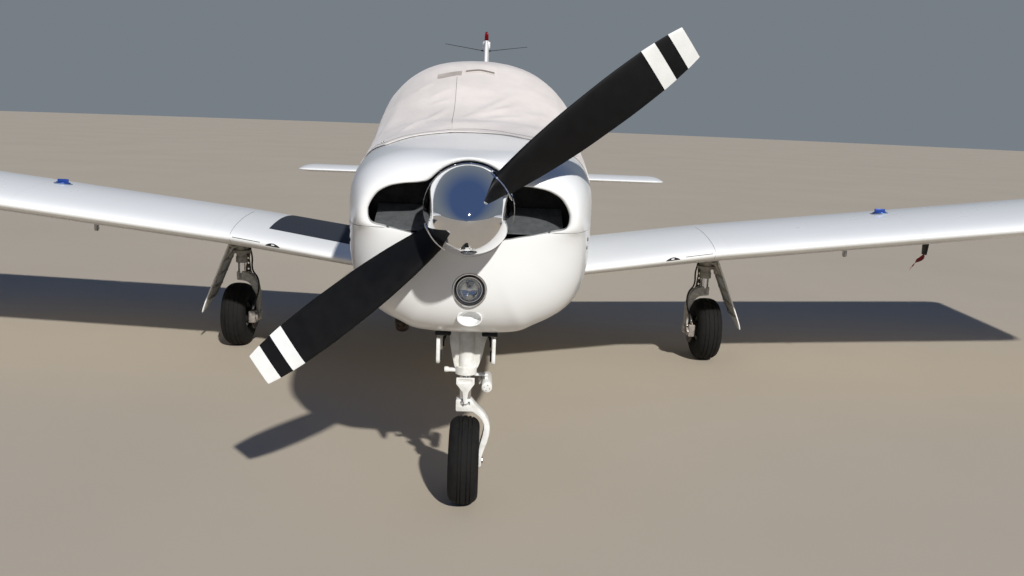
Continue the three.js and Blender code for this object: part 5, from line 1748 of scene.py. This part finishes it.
def build_torque_plate():
    """Tapered torque plate in front of the piston"""
    front, back = (row_y(NOSE_Y - d) for d in (0.053, 0.041))
    link = prism("torque_plate", [(-0.037, 0.548), (-0.037, 0.522), (-0.026, 0.508), (-0.010, 0.488),
                                  (-0.006, 0.450), (-0.002, 0.438), (0.004, 0.438), (0.008, 0.450),
                                  (0.014, 0.488), (0.027, 0.508), (0.037, 0.522), (0.037, 0.548)], "y",
                 front, back, 0.003)
    panel = block("torque_recess", at(-0.028, NOSE_Y - 0.060, 0.525), at(0.028, NOSE_Y - 0.0500, 0.5425),
                  0.003)
    carved(link, panel)
    upper = pin("torque_pin", (-0.033, 0.033), NOSE_Y - 0.036, 0.534, 0.008, bevel=0.001)
    lower = pin("torque_foot", (-0.009, 0.011), NOSE_Y - 0.036, 0.441, 0.0075, bevel=0.001)
    coated("leg", link, upper, lower, angle=40)
    placed(joined("nose_torque_plate", link, upper, lower), "nose_fork", "gear_paint", "nose_torque_link")


def build_nose_wheel():
    """Tyre and wheel"""
    placed(tyre("nose_tyre_tread", NOSE_TYRE, NOSE_AXLE, (-0.36, -0.16, 0.22, 0.47)), "nose_wheel",
           "tyre_rubber", "nose_tyre")
    placed(joined("nose_wheel_assembly", *wheel("nose_wheel", NOSE_TYRE, NOSE_AXLE, "wheel")), "nose_wheel",
           "wheel_metal", "nose_wheel")


def build_nose_doors():
    """Doors on both sides of the leg, with hinges, ribs and rod"""
    rows = ((-2.545, 0.646), (-2.542, 0.637), (-2.535, 0.630), (-2.525, 0.628), (-2.080, 0.628),
            (-2.060, 0.637), (-2.030, 0.660), (-2.030, 0.690), (-2.545, 0.736))
    panel = prism("nose_door", [(row_y(y), z) for y, z in rows], "x", 0.1005, 0.1155, 0.0045)
    coated("leg", panel)
    extras = []
    for y in (-2.515, -2.30, -2.10):
        top = float(section_at(np.array([y]))[0][1]) + 0.010
        extras.append(block("door_hinge", at(0.060, y - 0.012, top - 0.022),
                            at(0.122, y + 0.012, top - 0.006), 0.005))
        extras.append(block("door_rib", at(0.094, y - 0.008, 0.638), at(0.1015, y + 0.008, 0.680), 0.002))
    extras.append(drum("door_rod", at(0.062, -2.30, 0.76), at(0.099, -2.30, 0.66), 0.005))
    coated("dark", *extras)
    left = joined("nose_door_left_panel", panel, *extras)
    placed_both(left, "airframe", "white_paint", "nose_door_{}")


class AIRCRAFT_OT_nose_gear(Operator):
    """Nose leg with its braces, shimmy damper, torque link, fork, wheel and doors"""
    bl_idname = "aircraft.nose_gear"
    bl_label = "Nose gear"

    def execute(self, context):
        build_nose_leg()
        build_nose_fork()
        build_torque_plate()
        build_nose_wheel()
        build_nose_doors()
        return {"FINISHED"}


def main_leg():
    """Left main leg: casting, oleo, torque links, fork, axle, brake caliper and hose"""
    z = MAIN_TYRE[0]
    parts = [drum("trunnion", at(LEG_X, -0.19, 0.712), at(LEG_X, 0.19, 0.712), 0.024, bevel=0.002),
             drum("bush_front", at(LEG_X, -0.19, 0.712), at(LEG_X, -0.15, 0.712), 0.032, bevel=0.003),
             drum("bush_back", at(LEG_X, 0.15, 0.712), at(LEG_X, 0.19, 0.712), 0.032, bevel=0.003)]

    # height, half width to the sides, half width forwards
    rows = ((0.558, 0.036, 0.036), (0.560, 0.038, 0.038), (0.595, 0.038, 0.038), (0.598, 0.034, 0.034),
            (0.618, 0.034, 0.034), (0.6225, 0.058, 0.047), (0.6235, 0.061, 0.050), (0.6405, 0.061, 0.050),
            (0.6415, 0.058, 0.047), (0.646, 0.040, 0.044), (0.738, 0.040, 0.060))

    def casting_place(u, v):
        height, a, b = row_of(rows, v).T
        angle = 2 * math.pi * u
        return points_at(LEG_X + a * np.cos(angle), b * np.sin(angle), height)
    parts.append(grid_skin("casting", 64, len(rows) - 1, casting_place))
    parts.append(block("link_lug", at(LEG_X - 0.034, 0.028, 0.612), at(LEG_X - 0.006, 0.066, 0.652),
                       0.006))
    coated("grey_paint", *parts, angle=40)
    oleo = drum("oleo", at(LEG_X, 0, 0.49), at(LEG_X, 0, 0.56), 0.0255, sides=64)
    coated("chrome", oleo)
    flange = bolts("flange_bolts", at(LEG_X, 0, 0.6235), (0, 0, -1), 0.043, 6, 0.0055, 0.007)

    side = LEG_X - 0.020
    upper = prism("link_upper", [(side - 0.020, 0.646), (side - 0.022, 0.636), (side - 0.012, 0.552),
                                 (side + 0.006, 0.552), (side + 0.018, 0.636), (side + 0.016, 0.646)], "y",
                  row_y(0.062), row_y(0.072), 0.002)
    lower = prism("link_lower", [(side - 0.012, 0.566), (side - 0.022, 0.474), (side + 0.020, 0.474),
                                 (side + 0.006, 0.566)], "y", row_y(0.074), row_y(0.084), 0.002)
    for obj, low, high in ((upper, 0.575, 0.620), (lower, 0.500, 0.540)):
        for h in (low, high):
            carved(obj, drum("link_hole", at(side - 0.002, 0, h), at(side - 0.002, 0.2, h), 0.007))
    pins = [pin("link_pin", (side - 0.026, side + 0.022), 0.067, 0.638, 0.006),
            drum("link_knee", at(side - 0.003, 0.056, 0.558), at(side - 0.003, 0.090, 0.558), 0.007),
            pin("link_foot", (side - 0.026, side + 0.024), 0.066, 0.480, 0.008),
            block("foot_lug", at(side - 0.010, 0.020, 0.470), at(side + 0.010, 0.074, 0.494), 0.004)]
    coated("link", upper, lower, *pins)

    fork = prism("main_fork", [(LEG_X + a, b) for a, b in (
        (0.028, 0.446), (0.028, 0.496), (0.024, 0.500), (-0.020, 0.500), (-0.046, 0.491), (-0.069, 0.480),
        (-0.086, 0.464), (-0.097, 0.447), (-0.105, 0.428), (-0.110, 0.408), (-0.120, 0.355),
        (-0.121, 0.176), (-0.115, 0.170), (-0.102, 0.170), (-0.097, 0.176), (-0.098, 0.342),
        (-0.090, 0.362), (-0.079, 0.380), (-0.066, 0.406),
        (-0.052, 0.424), (-0.036, 0.434), (-0.020, 0.438), (0.022, 0.442))],
        "y", row_y(-0.030), row_y(0.030), 0.005)
    cleft = block("clevis_gap", at(LEG_X - 0.006, -0.06, 0.452), at(LEG_X + 0.010, -0.022, 0.51), 0.002)
    carved(fork, cleft)
    coated("fork", fork, angle=40)
    axle = pin("main_axle", (LEG_X - 0.116, TRACK + 0.054), 0, z, 0.018, bevel=0.002)
    boss = pin("main_boss", (LEG_X - 0.128, LEG_X - 0.094), 0, z, 0.032, bevel=0.004)
    nut = pin("axle_nut", (TRACK + 0.046, TRACK + 0.062), 0, z, 0.024, bevel=0.002, sides=6)
    coated("steel", axle)
    coated("steel", nut, angle=25)
    coated("fork", boss)
    caliper = block("caliper", at(BRAKE_X - 0.030, -0.118, z - 0.036),
                    at(BRAKE_X + 0.016, -0.072, z + 0.046), 0.008, 3)
    carved(caliper, pin("disc_slot", (BRAKE_X - 0.009, BRAKE_X + 0.009), 0, z, 0.112, sides=48))
    carrier = block("caliper_carrier", at(BRAKE_X - 0.034, -0.110, z - 0.020),
                    at(BRAKE_X - 0.018, 0.010, z + 0.020), 0.003)
    cylinder = drum("caliper_cylinder", at(BRAKE_X - 0.044, -0.094, z + 0.004),
                    at(BRAKE_X - 0.028, -0.094, z + 0.004), 0.024, bevel=0.004)
    coated("caliper", caliper, carrier, cylinder)
    caliper_bolts = bolts("caliper_bolts", at(BRAKE_X - 0.032, -0.095, z + 0.006), (-1, 0, 0), 0.032, 4,
                          0.005, 0.006, start=math.pi / 4)
    line = hose("brake_hose", [at(LEG_X - 0.034, 0.036, 0.690), at(LEG_X - 0.062, 0.020, 0.600),
                               at(LEG_X - 0.076, -0.018, 0.510), at(LEG_X - 0.112, -0.038, 0.462),
                               at(LEG_X - 0.121, -0.042, 0.410), at(LEG_X - 0.108, -0.058, 0.330),
                               at(LEG_X - 0.096, -0.088, 0.285), at(LEG_X - 0.094, -0.094, 0.256)], 0.0055)
    clip = [drum("hose_end", at(LEG_X - 0.0945, -0.092, 0.284), at(LEG_X - 0.094, -0.094, 0.262), 0.0085,
                 bevel=0.001, sides=6), hoop("hose_clip", at(LEG_X - 0.114, -0.050, 0.365), (0.2, 0.1, 1),
                                             0.0065, 0.0018, 24, 8)]
    coated("hose", line)
    coated("steel", *clip)
    return joined("main_leg_left_assembly", *parts, oleo, flange, upper, lower, *pins, fork, axle, nut,
                  boss, caliper, carrier, cylinder, caliper_bolts, line, *clip)


def main_door():
    """Left outer door with its ribs and link"""
    # height, x, front and back of the door
    table = linear_columns(((0.228, 1.791, -0.100, -0.062), (0.244, 1.786, -0.108, -0.015),
                            (0.262, 1.780, -0.112, 0.022), (0.296, 1.767, -0.117, 0.082),
                            (0.330, 1.753, -0.120, 0.112), (0.380, 1.732, -0.123, 0.121),
                            (0.560, 1.657, -0.130, 0.130), (0.696, 1.601, -0.120, 0.120)))

    def door_ring(height, inner, outer):
        (x,), (y0,), (y1,) = table(np.array([height]))
        return [at(x + inner, y0, height), at(x + outer, y0, height), at(x + outer, y1, height),
                at(x + inner, y1, height)]
    heights = np.unique(np.concatenate([np.linspace(0.228, 0.696, 30),
                                        (0.244, 0.262, 0.296, 0.330, 0.380, 0.560)]))
    door = loft("door_panel", [door_ring(h, -0.005, 0.004) for h in heights])
    bevelled(door, 0.0025, 2, 60)
    coated("enamel", door, angle=30)
    ribs = []
    for low in (0.31, 0.39, 0.48, 0.57, 0.66):
        (x,), (y0,), (y1,) = table(np.array([low + 0.006]))
        ribs.append(block("door_rib", at(x - 0.014, y0 * 0.88, low), at(x - 0.003, y1 * 0.88, low + 0.012),
                          0.003))
    for share in (-0.72, 0.72):
        ring = []
        for h in np.linspace(0.32, 0.68, 12):
            (x,), (y0,), (y1,) = table(np.array([h]))
            y = (y0 + y1) / 2 + share * (y1 - y0) / 2
            ring.append([at(x + a, y + b, h) for a, b in ((-0.014, -0.006), (-0.003, -0.006),
                                                          (-0.003, 0.006), (-0.014, 0.006))])
        ribs.append(loft("door_beam", ring))
    coated("grey_paint", *ribs)
    link = drum("door_link", at(LEG_X + 0.045, 0, 0.633), at(1.632, 0, 0.597), 0.009)
    eye = drum("door_eye", at(1.630, -0.014, 0.598), at(1.630, 0.014, 0.598), 0.014, bevel=0.002)
    coated("fork", link, eye)
    return joined("main_door_left_panel", door, *ribs, link, eye)


def main_wheel(z):
    """Left wheel with its brake disc"""
    hub = wheel("main_wheel", MAIN_TYRE, at(TRACK, 0, z), "wheel")
    disc = turned("brake_disc", [(-0.003, 0.030), (-0.003, 0.097), (-0.002, 0.098), (0.002, 0.098),
                                 (0.003, 0.097), (0.003, 0.030), (-0.003, 0.030)], at(BRAKE_X, 0, z),
                  (1, 0, 0), steps=72)
    hat = turned("disc_hat", [(0, 0.026), (0, 0.052), (0.062, 0.052), (0.062, 0.026), (0, 0.026)],
                 at(BRAKE_X - 0.003, 0, z), (1, 0, 0), steps=48)
    coated("disc", disc, angle=30)
    coated("iron", hat, angle=30)
    return joined("main_wheel_left_assembly", *hub, disc, hat)


class AIRCRAFT_OT_main_gear(Operator):
    """Main legs with oleos, brakes, wheels and outer doors"""
    bl_idname = "aircraft.main_gear"
    bl_label = "Main gear"

    def execute(self, context):
        z = MAIN_TYRE[0]
        for obj, body, slot, node in (
            (main_leg(), "airframe", "gear_grey", "main_leg"),
            (main_door(), "airframe", "white_paint", "main_door"),
            (tyre("main_tyre_left_tread", MAIN_TYRE, at(TRACK, 0, z), (-0.5, -0.2, 0.2, 0.5)),
             "main_wheel_{}", "tyre_rubber", "main_tyre"),
             (main_wheel(z), "main_wheel_{}", "wheel_metal", "main_wheel"),
        ):
            placed_both(obj, body, slot, node + "_{}")
        return {"FINISHED"}


def build_exhaust():
    """Exhaust pipe, and finishes of what shows through the inlets: the engine in near-black painted shade
    """
    pipe = hose("exhaust", [at(-0.30, -2.07, 0.84), at(-0.30, -2.045, 0.77), at(-0.30, -2.01, 0.69),
                            at(-0.30, -1.972, 0.634)], 0.031, sides=6)
    bore = drum("exhaust_bore", at(-0.30, -2.018, 0.706), at(-0.30, -1.955, 0.606), 0.028)
    carved(pipe, bore)
    coated("scorched", pipe, angle=40)
    placed(pipe, "airframe", "dark_metal", "exhaust_pipe")
    # the engine is near black: painted shade for the dark inside of the cowl
    painted(frame["nodes"]["engine_block"], finish("sooty"))
    painted(frame["nodes"]["inlet_baffle"], finish("baffle"))


def build_pitot_cover():
    """Sleeve over the pitot mast"""
    x, y = 2.770, -0.500
    mast = [float(wing_height(np.array([x]), np.array([y]), False)[0]) + 0.02, 0.841]
    rings = []
    for share in np.linspace(0, 1, 8):
        z = mast[0] + (mast[1] - mast[0]) * share
        length = 0.060 + (0.042 - 0.060) * share
        rings.append([at(x + 0.009 * math.sin(a), y - length * 0.3 + length * 0.7 * math.cos(a), z)
                      for a in np.linspace(0, 2 * math.pi, 24, endpoint=False)])
    cover = loft("pitot_cover", rings)
    bevelled(cover, 0.002, 2, 50)
    coated("sleeve", cover, angle=40)
    placed(cover, "airframe", "dark_metal", "pitot_mast")


def build_streamer():
    """Ribbon that hangs from the sleeve in the wind"""
    drop, drift = 0.092, 0.086
    top = at(2.770, -0.516, 0.8385)
    along, across = np.array((-drift, 0, -drop)), np.array((0.73, 0, -0.68))

    def ribbon_place(u, v):
        twist = 0.95 + 0.75 * np.sin(6.5 * v)
        wave = 0.004 * np.sin(9 * v)
        side = np.cos(twist)[:, None] * np.array((0, 1, 0)) + np.sin(twist)[:, None] * across
        fork = np.clip((v - 0.86) / 0.14, 0, None) * (1 - np.abs(2 * u - 1)) * 0.12
        return (np.array(top) + (v - fork)[:, None] * along + wave[:, None] * across
                + side * ((u - 0.5) * 0.026)[:, None])
    ribbon = grid_skin("pitot_ribbon", 8, 60, ribbon_place, closed=False)
    modify(ribbon, "SOLIDIFY", thickness=0.0008, offset=0)
    coated("ribbon", ribbon, angle=60)
    placed(ribbon, "airframe", "ribbon_cloth", "pitot_streamer")


class AIRCRAFT_OT_fittings(Operator):
    """Exhaust pipe, engine, intake ramp, pitot mast and its streamer"""
    bl_idname = "aircraft.fittings"
    bl_label = "Small fittings"

    def execute(self, context):
        build_exhaust()
        build_pitot_cover()
        build_streamer()
        return {"FINISHED"}


# Stage

class AIRCRAFT_OT_stage(Operator):
    """Camera at the photograph's viewing angle, pale floor and soft studio light"""
    bl_idname = "aircraft.stage"
    bl_label = "Stage"

    def execute(self, context):
        deselect()
        focal_pixels, frame_width, sensor = 892.5, 1024, 36.0
        yaw, pitch, roll = (math.radians(a) for a in (1.818, 11.064, 2.262))
        bpy.ops.object.camera_add(location=(0.063, MAIN_AXLE.y - 5.899, 1.597))
        camera = bpy.context.object
        camera.data.sensor_width = sensor
        camera.data.lens = focal_pixels / frame_width * sensor
        camera.data.clip_end = 500
        ahead = Vector((math.sin(yaw) * math.cos(pitch), math.cos(yaw) * math.cos(pitch),
                        -math.sin(pitch)))
        level = Vector((math.cos(yaw), -math.sin(yaw), 0))
        upright = level.cross(ahead)
        right = math.cos(roll) * level + math.sin(roll) * upright
        up = right.cross(ahead)
        camera.rotation_euler = Matrix((right, up, -ahead)).transposed().to_euler()
        context.scene.camera = camera

        bpy.ops.mesh.primitive_circle_add(vertices=96, radius=90, fill_type="NGON",
                                          location=(0, 0, -0.001))
        floor = settle(named("studio_floor"))
        painted(floor, finish("floor"))

        world = bpy.data.worlds.new("soft_studio_light")
        context.scene.world = world
        world.use_nodes = True
        tree = world.node_tree
        place = add_node(tree, "ShaderNodeTexCoord")
        split = add_node(tree, "ShaderNodeSeparateXYZ", {0: place.outputs["Generated"]})
        # hazy grey low down behind the aircraft, deeper blue high up and in front of its nose
        lean = maths(tree, "MULTIPLY_ADD", split.outputs["Y"], -0.3, split.outputs["Z"])
        height = ranged(tree, lean, 0.0, 0.55)
        mix = add_node(tree, "ShaderNodeMix",
                       {0: height, 6: rgba(colours().sky), 7: rgba(from_hex("#4c628c"))}, data_type="RGBA")
        background = tree.nodes["Background"]
        tree.links.new(mix.outputs[2], background.inputs["Color"])
        background.inputs["Strength"].default_value = 0.8

        bpy.ops.object.light_add(type="SUN", location=(6, -6, 6))
        sun = bpy.context.object
        sun.data.energy = 4.0
        sun.data.angle = math.radians(1.5)
        sun.data.color = (1.0, 0.985, 0.955)
        travel = Vector((-0.274, 0.765, -0.584))
        sun.rotation_euler = travel.to_track_quat("-Z", "Y").to_euler()
        context.scene.view_settings.view_transform = "Standard"
        return {"FINISHED"}


class AIRCRAFT_PT_panel(Panel):
    """Lists the pieces in the sidebar"""
    bl_idname = "AIRCRAFT_PT_panel"
    bl_label = "Covered light aircraft"
    bl_space_type = "VIEW_3D"
    bl_region_type = "UI"
    bl_category = "Aircraft"

    def draw(self, context):
        for group in (context.scene.aircraft_sizes, context.scene.aircraft_colours):
            for key in group.bl_rna.properties.keys():
                if key not in {"rna_type", "name"}:
                    self.layout.prop(group, key)
        for operator in OPERATORS:
            self.layout.operator(operator.bl_idname)


OPERATORS = (AIRCRAFT_OT_stage, AIRCRAFT_OT_cowl, AIRCRAFT_OT_fuselage, AIRCRAFT_OT_cover,
             AIRCRAFT_OT_wings, AIRCRAFT_OT_tail, AIRCRAFT_OT_propeller, AIRCRAFT_OT_nose_gear,
             AIRCRAFT_OT_main_gear, AIRCRAFT_OT_fittings)
CLASSES = (AircraftSizes, AircraftColours, *OPERATORS, AIRCRAFT_PT_panel)


def register():
    for cls in CLASSES:
        bpy.utils.register_class(cls)
    bpy.types.Scene.aircraft_sizes = PointerProperty(type=AircraftSizes)
    bpy.types.Scene.aircraft_colours = PointerProperty(type=AircraftColours)


def unregister():
    del bpy.types.Scene.aircraft_colours
    del bpy.types.Scene.aircraft_sizes
    for cls in reversed(CLASSES):
        bpy.utils.unregister_class(cls)


def main():
    register()
    mix_finishes()
    for operator in OPERATORS:
        group, action = operator.bl_idname.split(".")
        getattr(getattr(bpy.ops, group), action)()


if __name__ == "__main__":
    main()
